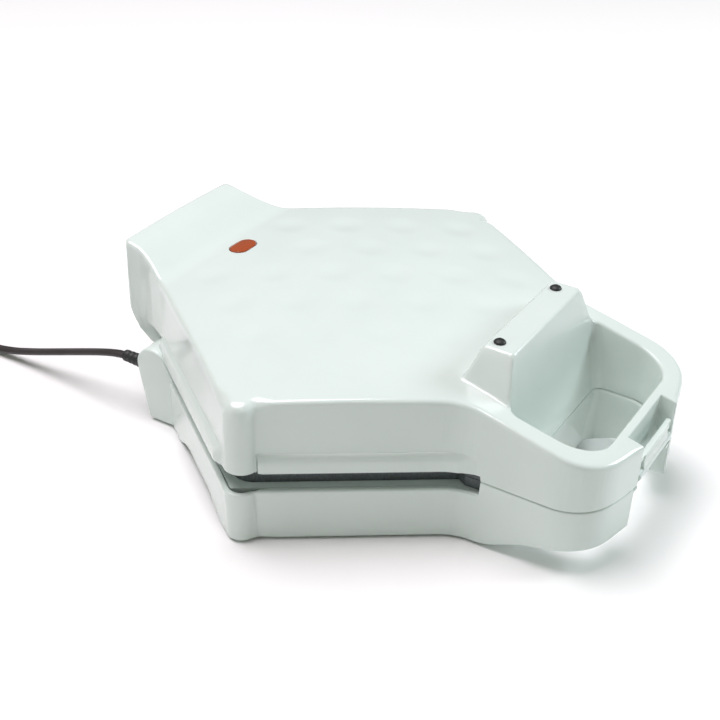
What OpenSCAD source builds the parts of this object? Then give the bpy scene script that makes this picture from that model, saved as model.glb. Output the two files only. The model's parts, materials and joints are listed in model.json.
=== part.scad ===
// Mini ring-cake (donut) maker: a hinged two-shell table appliance with two
// seven-ring cooking plates. Millimetres, +Z up, handle towards -Y, hinge at +Y,
// origin on the table in the middle of the footprint.

/* [Body] */
// Distance between the two side columns, centre to centre
column_span = 243; // [238:1:248]
// Radius of a side column
column_r = 9; // [8:0.5:10]
// Wall thickness of both mouldings
wall = 2.8; // [2.4:0.1:3.2]
// Height of the base's rim above the table
rim_z = 31; // [30:0.5:31.5]
// Height of the lid's lower lip
lip_z = 43; // [42.5:0.5:44]
// Height of the lid's top in the middle
crown_top = 89.5; // [87:0.5:91]
// Radius of the lid's shallow crown
crown_r = 1150; // [1050:10:1300]

/* [Handle] */
// Overall width of the handle
handle_w = 128; // [126:1:129]
// How far the handle's front lies from the middle
handle_front = 152; // [150:1:153]
// Height of the parting line round the handle
part_z = 40; // [39.5:0.5:40.5]
// Fall of the handle's top towards its front, per mm
handle_fall = 0.25; // [0.2:0.01:0.28]
// Half width of the finger opening at the parting line
grip_half = 48.5; // [46:0.5:49]
// Width of the clip's notch in the lid
notch_w = 45; // [42:1:48]

/* [Plates] */
// Outer diameter of one ring cavity
ring_od = 60; // [56:1:61]
// Diameter of the post in the middle of a ring
ring_hole = 16; // [14:1:20]
// Distance between neighbouring ring centres
ring_pitch = 65; // [64:0.5:66]
// Thickness of a plate's flange
flange = 2.5; // [2:0.1:3]
// Height of the skirt round a plate
skirt_h = 5.8; // [5:0.1:6]

/* [Hinge] */
// Height of the hinge axis
hinge_z = 36; // [35.5:0.5:36.5]
// Diameter of a hinge pin
pin_d = 5; // [4:0.5:6]

/* [Cord] */
// Width of the flat twin cord
cord_w = 5.9; // [5:0.1:6]
// Thickness of the flat twin cord
cord_t = 3.8; // [3.4:0.1:4]
// Radius of the coil at the middle of its turns
coil_r = 33; // [32:0.5:34]

/* [Hidden] */
$fn = 64;

mint = [0.85, 0.91, 0.88];
alloy = [0.3, 0.32, 0.32];
steel = [0.75, 0.76, 0.78];
black = [0.1, 0.1, 0.1];

column_x = column_span / 2;
column_y = 19;
crown_y = 38;
rear_y = 152;
apex = [column_x + 8.7, column_y + 2.8];
kink = [58.5, 118];
block_half = 48;
shoulder = [66, -69];
hinge_y = 119;
ear_in = 48.6;
ear_out = 68;
ear_r = 11;
knuckle_r = 9;
handle_half = handle_w / 2;
handle_back = -60;
gap = 0.2;
foot_h = 1;
frame_front = -89.9;
floor_z = 9;
floor_t = 2.5;
plate_y = 9;
plate_z = 37;
frame_t = 2.5;
seat = 0.05;
big = 400;
clip_y = -148;
clip_z = 43.4;
clip_pin_d = 3;
lens_y = 104.6;
lens_dome_r = 160;

// --- outlines -----------------------------------------------------------

// The same half outline on both sides of the Y axis
function mirrored(half) = concat(half, [for (i = [len(half) - 1 : -1 : 0]) [-half[i][0], half[i][1]]]);

// Height of the lid's crown above a point
function crown(x, y) = crown_top - (x * x + pow(y - crown_y, 2)) / (2 * crown_r);

module both_sides() {
    children();
    mirror([1, 0, 0]) children();
}

module in_front_of(y) {
    translate([-big, y - big]) square([2 * big, big]);
}

// Outline of the handle, with a slightly bowed front and round corners
module handle_plan() {
    offset(r = 26) offset(delta = -26) intersection() {
        translate([-handle_half, -handle_front - 20])
            square([handle_w, handle_front + 20 - handle_back]);
        translate([0, 160 - handle_front]) circle(r = 160, $fn = 180);
    }
    translate([-handle_half, handle_back - 40]) square([handle_w, 40]);
}

// Lid seen from above: a flat hexagon, the hinge block and the handle
module lid_plan() {
    offset(r = -30) offset(r = 30) {
        polygon(mirrored([[block_half, rear_y], [block_half, rear_y - 12], [52, rear_y - 22], kink,
            apex, shoulder]));
        handle_plan();
    }
}

// Base seen from above: as the lid, but straight to the ears
module base_plan() {
    offset(r = -30) offset(r = 30) {
        polygon(mirrored([[ear_out, 108], [ear_out, 106.5], apex + [0.8, 0], shoulder + [0.8, 0]]));
        handle_plan();
    }
}

// Finger opening at height z: it narrows to the parting line from above and below
module grip_plan(z, grow = 0) {
    up = z - part_z;
    half = grip_half + up * (up > 0 ? 0.11 : 0.06) + grow;
    rear = -97.6 + up * (up > 0 ? 0.205 : -0.03) + grow;
    front = -134.5 - up * (up > 0 ? 0.09 : -0.02) - grow;
    intersection() {
        offset(r = 17 + grow, $fn = 32) offset(delta = -17 - grow)
            translate([-half, front]) square([2 * half, rear - front + 40]);
        translate([-half, front]) square([2 * half, rear - front]);
    }
}

module grip_hole(z1, z2, grow = 0) {
    hull() for (z = [z1, z2]) translate([0, 0, z]) linear_extrude(0.5) grip_plan(z, grow);
}

module clip_notch_plan(w, back) {
    translate([-w / 2, -handle_front - 5]) square([w, handle_front + 5 - back]);
}

// Side profile (Y, Z) drawn across the whole width
module across(half = big) {
    rotate([90, 0, 90]) linear_extrude(2 * half, center = true) children();
}

// --- lid ----------------------------------------------------------------

// Side profile of the ramp behind the crown, up to the rear edge
ramp = [[104, 70], [112, 84.6], [119, 87.0], [126, 89.8], [133, 93.2], [141, 96.4], [153, 98.8], [153, 70]];

// Space under the lid's top skin: crown, sloping handle and rear ramp
module top_envelope(down = 0) {
    intersection() {
        translate([0, crown_y, crown_top - crown_r]) sphere(r = crown_r - down, $fn = 200);
        across(150) polygon([[-170, 20], [170, 20], [170, 83 + handle_fall * (72 + 170) - down],
            [-170, 83 + handle_fall * (72 - 170) - down]]);
    }
    // The ramp has the same curve from side to side as the crown
    translate([0, 0, crown_top - crown_r]) rotate([-90, 0, 0])
        rotate([0, 0, -95]) rotate_extrude(angle = 10, $fn = 200)
            polygon([for (p = ramp) [p[1] - crown_top + crown_r - down, p[0]]]);
}

// Side profile of the block behind the hinge
module hinge_block_profile() {
    polygon([[116, lip_z + 2], [116, 110], [rear_y, 110], [rear_y, 60], [151.5, 54.5], [148.5, 48.5],
        [144, 42], [137, 37.8], [128.5, 36.4], [122, 40]]);
}

// Bulged shoulder and lip along one lower side wall, from point a to point b
module lip_bar(a, b) {
    run = norm(b - a);
    turn = atan2(b[1] - a[1], b[0] - a[0]);
    profile = concat([[-1.4, lip_z - 0.15], [2.6, lip_z - 0.15], [3, lip_z + 0.3], [3, lip_z + 3.5]],
        [for (t = [10 : 20 : 70]) [3 * cos(t), lip_z + 4 + 5.5 * sin(t)]],
        [[0, lip_z + 9.6], [-1.4, lip_z + 9.7]]);
    translate([a[0], a[1], 0]) rotate([0, 0, turn]) rotate([90, 0, 90])
        linear_extrude(run) polygon(profile);
}

module lid_lips() {
    along_rear = (kink - apex) / norm(kink - apex);
    along_front = (shoulder - apex) / norm(shoulder - apex);
    both_sides() {
        lip_bar(kink - 3 * along_rear, apex + 6 * along_rear);
        lip_bar(apex + 6 * along_front, shoulder + 4 * along_front);
    }
}

// Raised block behind the finger opening, with splayed sides
module bridge_block(down = 0) {
    hull() {
        translate([0, 0, 76]) linear_extrude(0.5) offset(delta = -down)
            polygon([[-56, -57], [56, -57], [56, -91], [-56, -91]]);
        translate([0, 0, 101 - down]) linear_extrude(0.4) offset(delta = -down)
            offset(r = 3, $fn = 32) polygon([[-39.5, -71.5], [39.5, -71.5], [40, -82.5], [-40, -82.5]]);
    }
}

// Rows of shallow round dimples in the lid's top
module dimples() {
    pitch = 37.7;
    row = 27.6;
    dent_r = 90;
    for (j = [-2 : 3]) {
        y = 15.2 + j * row;
        odd = abs(j) % 2;
        for (i = [-3 : 3]) {
            x = (i + (odd ? 0 : 0.5)) * pitch;
            if (abs(x) < 104 - 0.75 * abs(y - column_y) && !(j == 3 && i == 0))
                translate([x, y, crown(x, y)]) intersection() {
                    translate([0, 0, dent_r - 0.8]) sphere(r = dent_r, $fn = 96);
                    cylinder(r = 13, h = 6, center = true);
                }
        }
    }
}

// Screw posts: three to a side in the body, one in the handle
body_posts = [[106, column_y], [66, 80], [70, -40]];
handle_post = [57, -110];
frame_posts = concat(body_posts, [handle_post]);
post_r = 4;
screw_head_d = 5.6;
screw_head_h = 1.8;
screw_core_d = 2.6;

module at_posts(posts = frame_posts) {
    for (p = posts) both_sides() translate([p[0], p[1], 0]) children();
}

module lid_outside() {
    intersection() {
        union() {
            translate([0, 0, lip_z]) linear_extrude(60) lid_plan();
            translate([0, 0, part_z + gap]) linear_extrude(20) intersection() {
                lid_plan();
                in_front_of(-84);
            }
            both_sides() translate([column_x, column_y, lip_z]) cylinder(r = column_r, h = 60);
            across(block_half) hinge_block_profile();
        }
        top_envelope();
    }
    lid_lips();
    bridge_block();
    // knuckles that turn on the hinge pins
    both_sides() translate([43, hinge_y, hinge_z]) {
        rotate([0, 90, 0]) cylinder(r = knuckle_r, h = 10, center = true);
        translate([-5, -7, 0]) cube([10, 16, 14]);
    }
}

module lid_inside() {
    difference() {
        union() {
            intersection() {
                union() {
                    translate([0, 0, -1]) linear_extrude(120) difference() {
                        offset(delta = -wall) difference() {
                            lid_plan();
                            clip_notch_plan(notch_w, 141.5);
                        }
                        translate([-big, 118]) square(2 * big);
                    }
                    across(block_half - wall) offset(delta = -wall) hinge_block_profile();
                }
                top_envelope(wall);
            }
            bridge_block(wall);
        }
        grip_hole(part_z - 1, 109, wall);
        translate([0, 0, lip_z + frame_t + 2 * seat]) at_posts() cylinder(r = post_r, h = 50);
        both_sides() translate([38, hinge_y - 12, hinge_z - 12]) cube([10, 40, 22]);
    }
}

module lid_housing() {
    color(mint) difference() {
        lid_outside();
        lid_inside();
        grip_hole(part_z - 1, 109);
        translate([0, 0, -1]) linear_extrude(120) clip_notch_plan(notch_w, 141.5);
        dimples();
        // room for the base's ears, at rest and while the lid swings
        both_sides() translate([block_half + 0.3, hinge_y, hinge_z]) {
            rotate([0, 90, 0]) cylinder(r = ear_r + 1.2, h = 40);
            translate([0, 0, -6]) cube([40, 40, 20]);
        }
        both_sides() translate([37, hinge_y, hinge_z]) rotate([0, 90, 0])
            cylinder(d = pin_d + 0.12, h = 12);
        // window, plug holes, latch pin bores, screw holes
        translate([0, lens_y, 70]) linear_extrude(30) lens_plan(0.15);
        both_sides() translate([33, -73.5, 90]) cylinder(d = 4.2, h = 20);
        translate([0, clip_y, clip_z]) rotate([0, 90, 0])
            cylinder(d = clip_pin_d + 0.12, h = notch_w + 5, center = true);
        at_posts() translate([0, 0, lip_z]) cylinder(d = screw_core_d, h = 16);
    }
}

// Flat ring that closes the lid below and carries the upper plate
module lid_frame() {
    color(mint) difference() {
        union() {
            translate([0, 0, lip_z + seat]) linear_extrude(frame_t) intersection() {
                offset(delta = -wall - 0.3) lid_plan();
                translate([-big, frame_front]) square([2 * big, 107 - frame_front]);
            }
            translate([0, 0, part_z + gap]) linear_extrude(lip_z - part_z + frame_t - gap + seat)
                intersection() {
                    handle_ring_plan(notch_w, 141.5);
                    in_front_of(-86.8);
                }
        }
        frame_hole();
        grip_hole(part_z - 1, 109, wall + 0.4);
        // sunk heads of the handle's two screws
        at_posts([handle_post]) cylinder(d = screw_head_d + 0.6, h = lip_z + seat);
    }
}

// What the frames fill in the handle: inside the walls, and clear of the clip's notch
module handle_ring_plan(notch, back) {
    offset(delta = -wall - 0.3) difference() {
        handle_plan();
        clip_notch_plan(notch, back);
    }
}

// Opening for the plate's cavities, with a lug left at each post, and the screw holes
module frame_hole() {
    lug_r = 5.5;
    lug_turn = [0, 37, -35];
    translate([0, 0, -1]) linear_extrude(120) difference() {
        plate_plan(-3);
        for (i = [0 : 2]) both_sides() translate(body_posts[i]) {
            circle(r = lug_r);
            rotate([0, 0, lug_turn[i]]) translate([0, -4.5]) square([20, 9]);
        }
    }
    at_posts() translate([0, 0, -1]) cylinder(d = 3.2, h = 120);
}

// --- cooking plates -------------------------------------------------------

// Hexagonal plate outline with tabs at its two front corners
module plate_plan(grow = 0) {
    offset(delta = grow) union() {
        offset(r = 12) offset(delta = -19) polygon(mirrored([[65.2, 109], apex, [50.4, -91]]));
        offset(r = 2) offset(delta = -2) polygon(mirrored([[52, -60], [60, -74], [59.5, -84]]));
    }
}

ring_centres = concat([[0, plate_y]],
    [for (a = [0 : 60 : 300]) [ring_pitch * cos(a), plate_y + ring_pitch * sin(a)]]);
tube_r = (ring_od - ring_hole) / 4;
tube_mid = (ring_od + ring_hole) / 4;

// One plate with its cavities up, its face at z = 0 and its back below
module cooking_plate() {
    difference() {
        union() {
            translate([0, 0, -flange]) linear_extrude(flange) plate_plan();
            translate([0, 0, -skirt_h]) linear_extrude(skirt_h) difference() {
                plate_plan();
                plate_plan(-2.2);
            }
            for (c = ring_centres) translate([c[0], c[1], -1]) rotate_extrude()
                intersection() {
                    translate([tube_mid, 1]) circle(r = tube_r + 2);
                    translate([0, -20]) square([60, 20]);
                }
            for (p = screw_points) translate([p[0], p[1], -14]) cylinder(r = 4, h = 13);
        }
        for (c = ring_centres) translate([c[0], c[1], 0]) rotate_extrude()
            intersection() {
                translate([tube_mid, 0]) circle(r = tube_r);
                translate([0, -30]) square([60, 31]);
            }
        for (p = screw_points) translate([p[0], p[1], -15]) cylinder(d = 3.4, h = 10);
    }
}

screw_points = [for (a = [0 : 120 : 240]) [54 * cos(a + 30), plate_y + 54 * sin(a + 30)]];

module lower_cooking_plate() {
    color(alloy) translate([0, 0, plate_z - gap]) cooking_plate();
}

module upper_cooking_plate() {
    color(alloy) translate([0, 0, plate_z + gap]) mirror([0, 0, 1]) cooking_plate();
}

// Round tubular heater that lies in the groove between the rings, ends turned away
heater_r = 32.5;
heater_d = 6.4;
heater_ends = [256, 284];
module heating_element() {
    translate([0, plate_y, -11.2]) {
        rotate([0, 0, 284]) rotate_extrude(angle = 332) translate([heater_r, 0]) circle(d = heater_d);
        for (a = heater_ends) rotate([0, 0, a]) translate([heater_r, 0, 0]) {
            translate([0, 0, -6]) cylinder(d = heater_d + 0.8, h = 8.2);
            translate([0, 0, -9]) cylinder(d = 2.4, h = 4);
        }
    }
}

module lower_heating_element() {
    color(steel) translate([0, 0, plate_z - gap]) heating_element();
}

module upper_heating_element() {
    color(steel) translate([0, 0, plate_z + gap]) mirror([0, 0, 1]) heating_element();
}

// Pressed tray behind the heater, folded edge towards the plate
module reflector() {
    difference() {
        linear_extrude(2.6) plate_plan(-9);
        translate([0, 0, 0.8]) linear_extrude(6) plate_plan(-9.8);
        for (p = screw_points) translate([p[0], p[1], -1]) cylinder(d = 3.4, h = 5);
        for (a = heater_ends) translate([0, plate_y, -1]) rotate([0, 0, a])
            translate([heater_r, 0, 0]) cylinder(d = 9, h = 5);
        at_posts(body_posts) translate([0, 0, -1]) cylinder(r = post_r + 1.4, h = 5);
    }
}

module lower_reflector() {
    color(steel) translate([0, 0, plate_z - gap - 15.2]) reflector();
}

module upper_reflector() {
    color(steel) translate([0, 0, plate_z + gap + 15.2]) mirror([0, 0, 1]) reflector();
}

// Cap screws that hold a plate through its reflector
module plate_screws() {
    for (p = screw_points) translate([p[0], p[1], 0]) {
        translate([0, 0, -15.3]) cylinder(d = 3, h = 9.5);
        translate([0, 0, -17.5]) cylinder(d = 6, h = 2.2);
    }
}

module lower_plate_screws() {
    color(steel) translate([0, 0, plate_z - gap]) plate_screws();
}

module upper_plate_screws() {
    color(steel) translate([0, 0, plate_z + gap]) mirror([0, 0, 1]) plate_screws();
}

// --- inside the lid -------------------------------------------------------

// Snap-disc thermostat with its mounting ears and two blades
module thermostat() {
    color(steel) translate([0, 9, plate_z + gap + 15.4]) {
        cylinder(d = 16, h = 8);
        linear_extrude(0.8) difference() {
            hull_bar(24, 9);
            for (side = [-1, 1]) translate([side * 12, 0]) circle(d = 3.4, $fn = 24);
        }
        for (side = [-1, 1]) translate([side * 4.5 - 0.4, -3.15, 8]) cube([0.8, 6.3, 8]);
    }
}

// Flat bar with round ends
module hull_bar(run, w) {
    offset(r = w / 2) square([run, 0.01], center = true);
}

module thermal_fuse() {
    color(steel) translate([26, 24, plate_z + gap + 18]) rotate([0, 90, 30]) {
        cylinder(d = 4, h = 11, center = true);
        cylinder(d = 1, h = 24, center = true);
    }
}

module lens_plan(grow = 0) {
    offset(r = 6.5 + grow) square([8.5, 0.01], center = true);
}

// Oval light window with a domed face, a flange inside and a hollow back
module indicator_lens() {
    color([0.75, 0.3, 0.18, 0.85]) difference() {
        union() {
            intersection() {
                translate([0, lens_y, 80]) linear_extrude(10) lens_plan();
                translate([0, lens_y, crown(0, lens_y) + 1]) rotate([-3.3, 0, 0])
                    translate([0, 0, -lens_dome_r]) sphere(r = lens_dome_r, $fn = 200);
            }
            translate([0, lens_y, 79.6]) linear_extrude(1.6) lens_plan(1.6);
        }
        translate([0, lens_y, 79]) linear_extrude(7) lens_plan(-1.4);
    }
}

// Neon bulb in its sleeve under the window
module neon_lamp() {
    color("orange") translate([0, lens_y, 76.5]) rotate([0, 90, 0]) {
        cylinder(d = 4, h = 9, center = true);
        translate([0, 0, 4.5]) sphere(d = 4);
        translate([0, 0, -9]) cylinder(d = 2.2, h = 5);
    }
}

// Two insulated leads from the hinge side to the thermostat
module lid_wiring() {
    color("ivory") for (side = [-1, 1]) translate([side * 5.2, 0, 62]) {
        translate([0, 14, 0]) rotate([-90, 0, 0]) cylinder(d = 2.6, h = 90);
    }
}

// Black rubber plugs that cap the two screw holes on the bridge
module bridge_plugs() {
    color(black) for (side = [-1, 1]) translate([side * 33, -73.5, 101.45]) {
        intersection() {
            cylinder(d = 6.4, h = 1.6);
            translate([0, 0, -2.9]) sphere(r = 4.5);
        }
        translate([0, 0, -3.4]) cylinder(d = 4, h = 3.6);
    }
}

// --- latch ----------------------------------------------------------------

// Flip-over clip: barrel on its pin, plate folded up in the lid's notch, nibs that
// pass under the horns' ribs when it hangs down
module latch_clip() {
    color(mint) difference() {
        union() {
            translate([0, clip_y, clip_z]) rotate([0, 90, 0])
                cylinder(d = 5.8, h = notch_w - 1, center = true);
            across(16.5) polygon([[-145.4, 43], [-150.3, 43.4], [-150.6, 46], [-149.8, 50.4],
                [-150.5, 52.6], [-149.6, 54.2], [-147.4, 54.2], [-146.3, 52.6], [-145.6, 48]]);
            across(21.4) polygon([[-149.4, 52], [-147, 52], [-147, 54], [-149.4, 54]]);
        }
        translate([0, clip_y, clip_z]) rotate([0, 90, 0])
            cylinder(d = clip_pin_d + 0.1, h = notch_w + 2, center = true);
    }
}

module latch_pin() {
    color(steel) translate([0, clip_y, clip_z]) rotate([0, 90, 0])
        cylinder(d = clip_pin_d, h = notch_w + 4.6, center = true);
}

// --- base -----------------------------------------------------------------

// Underside of the base's handle: rises from the table in a shallow curve
module handle_underside(up = 0) {
    across() offset(delta = up) polygon([[-85, -30], [-85, 0.5], [-92, 2.6], [-103, 8], [-113, 12],
        [-123, 14.2], [-135, 15.4], [-190, 16.5], [-190, -30]]);
}

// Long low arch in each rear side wall
module side_arches() {
    along = (kink - apex) / norm(kink - apex);
    turn = atan2(along[1], along[0]);
    both_sides() translate([apex[0], apex[1], 0]) rotate([0, 0, turn]) rotate([90, 0, 0])
        translate([0, 0, -20]) linear_extrude(60)
            polygon([[14, -5], [22, 5], [30, 8.2], [70, 8.2], [80, 5.5], [88, -5]]);
}

// Hollow ears that carry the hinge pins at the two rear corners
module ear_profile() {
    polygon([[100, foot_h], [123, foot_h], [129.6, 33], [127, hinge_z + 6], [112, hinge_z + 7],
        [104, rim_z], [100, rim_z]]);
}

module hinge_ears() {
    both_sides() {
        translate([(ear_in + ear_out) / 2, 0, 0]) difference() {
            across((ear_out - ear_in) / 2) ear_profile();
            across((ear_out - ear_in) / 2 - wall) offset(delta = -wall) intersection() {
                ear_profile();
                square([200, hinge_z - 4]);
            }
        }
        translate([ear_in, hinge_y, hinge_z]) rotate([0, 90, 0]) cylinder(r = ear_r, h = ear_out - ear_in);
    }
}

// A catch rib on the inner face of each horn of the handle
module catch_ribs() {
    both_sides() translate([19.8, 0, 0]) rotate([90, 0, 90]) linear_extrude(7)
        polygon([[-149.5, 37.2], [-144, 37.2], [-144, 34.4], [-148, 34.4], [-149.5, 35.6]]);
}

module base_outside() {
    difference() {
        union() {
            translate([0, 0, foot_h]) linear_extrude(rim_z - foot_h) base_plan();
            translate([0, 0, foot_h]) linear_extrude(part_z - gap - foot_h) intersection() {
                base_plan();
                in_front_of(-84);
            }
            both_sides() translate([column_x, column_y, foot_h])
                cylinder(r1 = column_r - 1.2, r2 = column_r + 0.4, h = rim_z - foot_h);
        }
        side_arches();
    }
    hinge_ears();
}

module base_inside() {
    difference() {
        // open above the floor, shallow recess below it
        union() {
            translate([0, 0, floor_z + floor_t]) linear_extrude(60) offset(delta = -wall) difference() {
                base_plan();
                clip_notch_plan(50, 120);
            }
            translate([0, 0, -1]) linear_extrude(floor_z + 1) offset(delta = -wall) difference() {
                base_plan();
                in_front_of(-76);
                translate([-big, 101]) square(2 * big);
            }
        }
        grip_hole(-1, part_z + 1, wall);
        handle_underside(wall);
        translate([0, 0, -1]) linear_extrude(floor_t + floor_z + 1) for (p = feet)
            translate(p) circle(r = 8.4);
        at_posts(body_posts) cylinder(r = post_r, h = rim_z - frame_t - 2 * seat);
        at_posts([handle_post]) cylinder(r = post_r, h = part_z - gap - frame_t - seat);
    }
}

module base_housing() {
    color(mint) difference() {
        union() {
            difference() {
                base_outside();
                base_inside();
                handle_underside();
                translate([0, 0, -1]) linear_extrude(120) clip_notch_plan(50, 120);
            }
            catch_ribs();
        }
        grip_hole(-1, part_z + 1);
        both_sides() translate([ear_in - 1, hinge_y, hinge_z]) rotate([0, 90, 0])
            cylinder(d = pin_d + 0.04, h = 12);
        for (p = feet) translate([p[0], p[1], -1]) cylinder(r = 6.2, h = 4);
        // floor vents
        for (i = [-3 : 3]) translate([i * 14, plate_y, 0]) linear_extrude(40) square([4, 46], center = true);
        at_posts() translate([0, 0, floor_z + 6]) cylinder(d = screw_core_d, h = 30);
        // gland seat in the back of the left ear
        translate([gland_x, 118, gland_z]) rotate([-90, 0, 0]) cylinder(d = sleeve_d + 0.1, h = 20);
    }
}

feet = [for (sx = [-1, 1]) for (p = [[90, 40], [50, 84], [50, -62]]) [sx * p[0], p[1]]];

module rubber_feet() {
    color(black) for (p = feet) translate([p[0], p[1], 0]) cylinder(r1 = 5.4, r2 = 6.1, h = 3);
}

// Flat ring that carries the lower plate and steps up to close the handle
module base_frame() {
    color(mint) difference() {
        union() {
            translate([0, 0, rim_z - seat - frame_t]) linear_extrude(frame_t) intersection() {
                offset(delta = -wall - 0.3) base_plan();
                translate([-big, frame_front]) square(2 * big);
            }
            translate([0, 0, part_z - gap - frame_t]) linear_extrude(frame_t) intersection() {
                handle_ring_plan(50, 120);
                in_front_of(-87.4);
            }
            translate([0, 0, rim_z - seat - frame_t]) linear_extrude(part_z - gap - rim_z + seat + frame_t)
                intersection() {
                    handle_ring_plan(50, 120);
                    translate([-big, frame_front]) square([2 * big, 2.5]);
                }
        }
        frame_hole();
        grip_hole(-1, part_z + 1, wall + 0.4);
        // sunk heads of the handle's two screws
        translate([0, 0, part_z - gap - screw_head_h]) at_posts([handle_post])
            cylinder(d = screw_head_d + 0.6, h = 5);
    }
}

// Self-tapping screws that hold a frame to its posts, heads on the plate's side
module frame_screw() {
    cylinder(d = screw_head_d, h = screw_head_h);
    translate([0, 0, screw_head_h]) cylinder(d = screw_core_d, h = 9);
}

module lid_frame_screws() {
    color(steel) translate([0, 0, lip_z + seat - screw_head_h]) at_posts() frame_screw();
}

module base_frame_screws() {
    color(steel) {
        translate([0, 0, rim_z - seat + screw_head_h]) at_posts(body_posts)
            mirror([0, 0, 1]) frame_screw();
        translate([0, 0, part_z - gap]) at_posts([handle_post]) mirror([0, 0, 1]) frame_screw();
    }
}

// Plain pin through one ear's inner wall into the lid's knuckle
module hinge_pin(side) {
    color(steel) translate([side * 37.6, hinge_y, hinge_z]) rotate([0, side * 90, 0])
        cylinder(d = pin_d, h = 20);
}

module hinge_pin_left() {
    hinge_pin(-1);
}

module hinge_pin_right() {
    hinge_pin(1);
}

// Two-pole block on the base's floor
module terminal_block() {
    color("ivory") translate([-44, 62, floor_z + floor_t]) difference() {
        union() {
            cube([20, 12, 5]);
            for (i = [0, 1]) translate([5 + 10 * i, 6, 5]) cylinder(d = 8, h = 4);
        }
        for (i = [0, 1]) translate([5 + 10 * i, 6, 4]) cylinder(d = 3.6, h = 8);
    }
}

module base_wiring() {
    color("ivory") for (i = [0, 1]) translate([-39 + 10 * i, 40, floor_z + 6]) {
        rotate([-90, 0, 0]) cylinder(d = 2.6, h = 21.8);
    }
}

// Bridge clamp that grips the cord inside the left ear
clamp_x = -64.5;
module cord_clamp() {
    color(black) translate([clamp_x, 96, floor_z + floor_t]) difference() {
        cube([13, 6, 14]);
        translate([6.5, -1, 8]) rotate([-90, 0, 0]) cylinder(d = 5, h = 8);
    }
}

// --- cord -----------------------------------------------------------------

gland_x = -63.5;
gland_z = 33.8;
gland_y = 129.8;
relief_end = 142;
sleeve_d = 6.6;

// Tapered sleeve that leaves the back of the left ear
module strain_relief() {
    color(black) translate([gland_x, 0, gland_z]) rotate([-90, 0, 0]) {
        translate([0, 0, gland_y - 9]) cylinder(d = sleeve_d, h = 9.1);
        translate([0, 0, gland_y]) cylinder(d1 = 7.6, d2 = 6.4, h = relief_end - gland_y);
    }
}

// Middle of the cord, from the sleeve down to the table and on to the coil
cord_route = [[-63.5, 142, 33.6], [-63.4, 150, 32.2], [-63.3, 160, 29.3], [-63.2, 172, 25.2],
    [-63.2, 184, 21], [-63.3, 196, 16.8], [-63.5, 208, 12.7], [-63.7, 220, 8.8], [-64, 232, 5.4],
    [-64.4, 245, 3], [-64.8, 258, 2.1], [-65.2, 271, 1.95], [-65.5, 284, 2.2], [-65.5, 297, 2.8]];
coil_centre = [-101, 312];
coil_rise = 0.9;

function unit(v) = v / norm(v);
function heading(i) = let (n = len(cord_route) - 1)
    unit(cord_route[min(i + 1, n)] - cord_route[max(i - 1, 0)]);

// One oval ring of the cord round point i of its route
function cord_ring(i, sides = 8) = let (
        t = heading(i), across = unit(cross(t, [0, 0, 1])), up = cross(across, t))
    [for (k = [0 : sides - 1]) cord_route[i] + cord_w / 2 * cos(360 * k / sides) * across
        + cord_t / 2 * sin(360 * k / sides) * up];

module mains_cord() {
    sides = 8;
    rings = len(cord_route);
    color(black) polyhedron(
        points = [for (i = [0 : rings - 1]) each cord_ring(i, sides)],
        faces = concat([[for (k = [0 : sides - 1]) k]],
            [for (i = [0 : rings - 2]) for (k = [0 : sides - 1])
                [i * sides + k, (i + 1) * sides + k, (i + 1) * sides + (k + 1) % sides,
                    i * sides + (k + 1) % sides]],
            [[for (k = [sides - 1 : -1 : 0]) (rings - 1) * sides + k]]));
}

// Outer shape of the wound length: two turns side by side, two layers high
module cord_coil() {
    color(black) translate([coil_centre[0], coil_centre[1], coil_rise]) rotate_extrude()
        translate([coil_r - cord_w, 0]) offset(r = 1.5, $fn = 16) offset(delta = -1.5)
            square([2 * cord_w, 2 * cord_t]);
}

// Strap round the turns
module cord_tie() {
    color(black) translate([coil_centre[0] - coil_r, coil_centre[1], coil_rise + cord_t])
        rotate([90, 0, 0]) linear_extrude(5, center = true) difference() {
            square([2 * cord_w + 1.7, 2 * cord_t + 1.7], center = true);
            square([2 * cord_w + 0.1, 2 * cord_t + 0.1], center = true);
        }
}

plug_tilt = 15;

module plug_frame() {
    translate([coil_centre[0] - 15.6, coil_centre[1] + coil_r + cord_w / 2, coil_rise + 1.5 * cord_t])
        rotate([0, -90 + plug_tilt, 0]) children();
}

// Round two-pin plug that leans on its rim and its neck
module plug_body() {
    color(black) plug_frame() {
        cylinder(d1 = 8, d2 = 11, h = 12);
        translate([0, 0, 12]) cylinder(d1 = 13, d2 = 33, h = 22);
        translate([0, 0, 34]) cylinder(d = 35, h = 9);
    }
}

module plug_pins() {
    color(steel) plug_frame() for (side = [-1, 1]) translate([0, side * 9.5, 43]) {
        cylinder(d = 4.8, h = 18);
        translate([0, 0, 18]) cylinder(d1 = 4.8, d2 = 3, h = 1);
    }
}

lid_housing();
lid_frame();
lid_frame_screws();
upper_cooking_plate();
upper_heating_element();
upper_reflector();
upper_plate_screws();
thermostat();
thermal_fuse();
indicator_lens();
neon_lamp();
lid_wiring();
bridge_plugs();
latch_clip();
latch_pin();
base_housing();
base_frame();
base_frame_screws();
lower_cooking_plate();
lower_heating_element();
lower_reflector();
lower_plate_screws();
hinge_pin_left();
hinge_pin_right();
terminal_block();
base_wiring();
cord_clamp();
rubber_feet();
strain_relief();
mains_cord();
cord_coil();
cord_tie();
plug_body();
plug_pins();
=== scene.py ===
# %% [markdown]
# # A mini ring-cake maker, modelled piece by piece
# The CAD frame holds the real construction: two hinged plastic shells, two cast plates, a
# handle with a flip clip, and a mains cord. This script gives each piece its finish, and
# redraws the mouldings with the soft edges that a real injection-moulded shell has.

# %% Load the frame
import json
import math

import bmesh
import bpy
import numpy as np
from mathutils import Matrix, Quaternion, Vector


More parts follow.
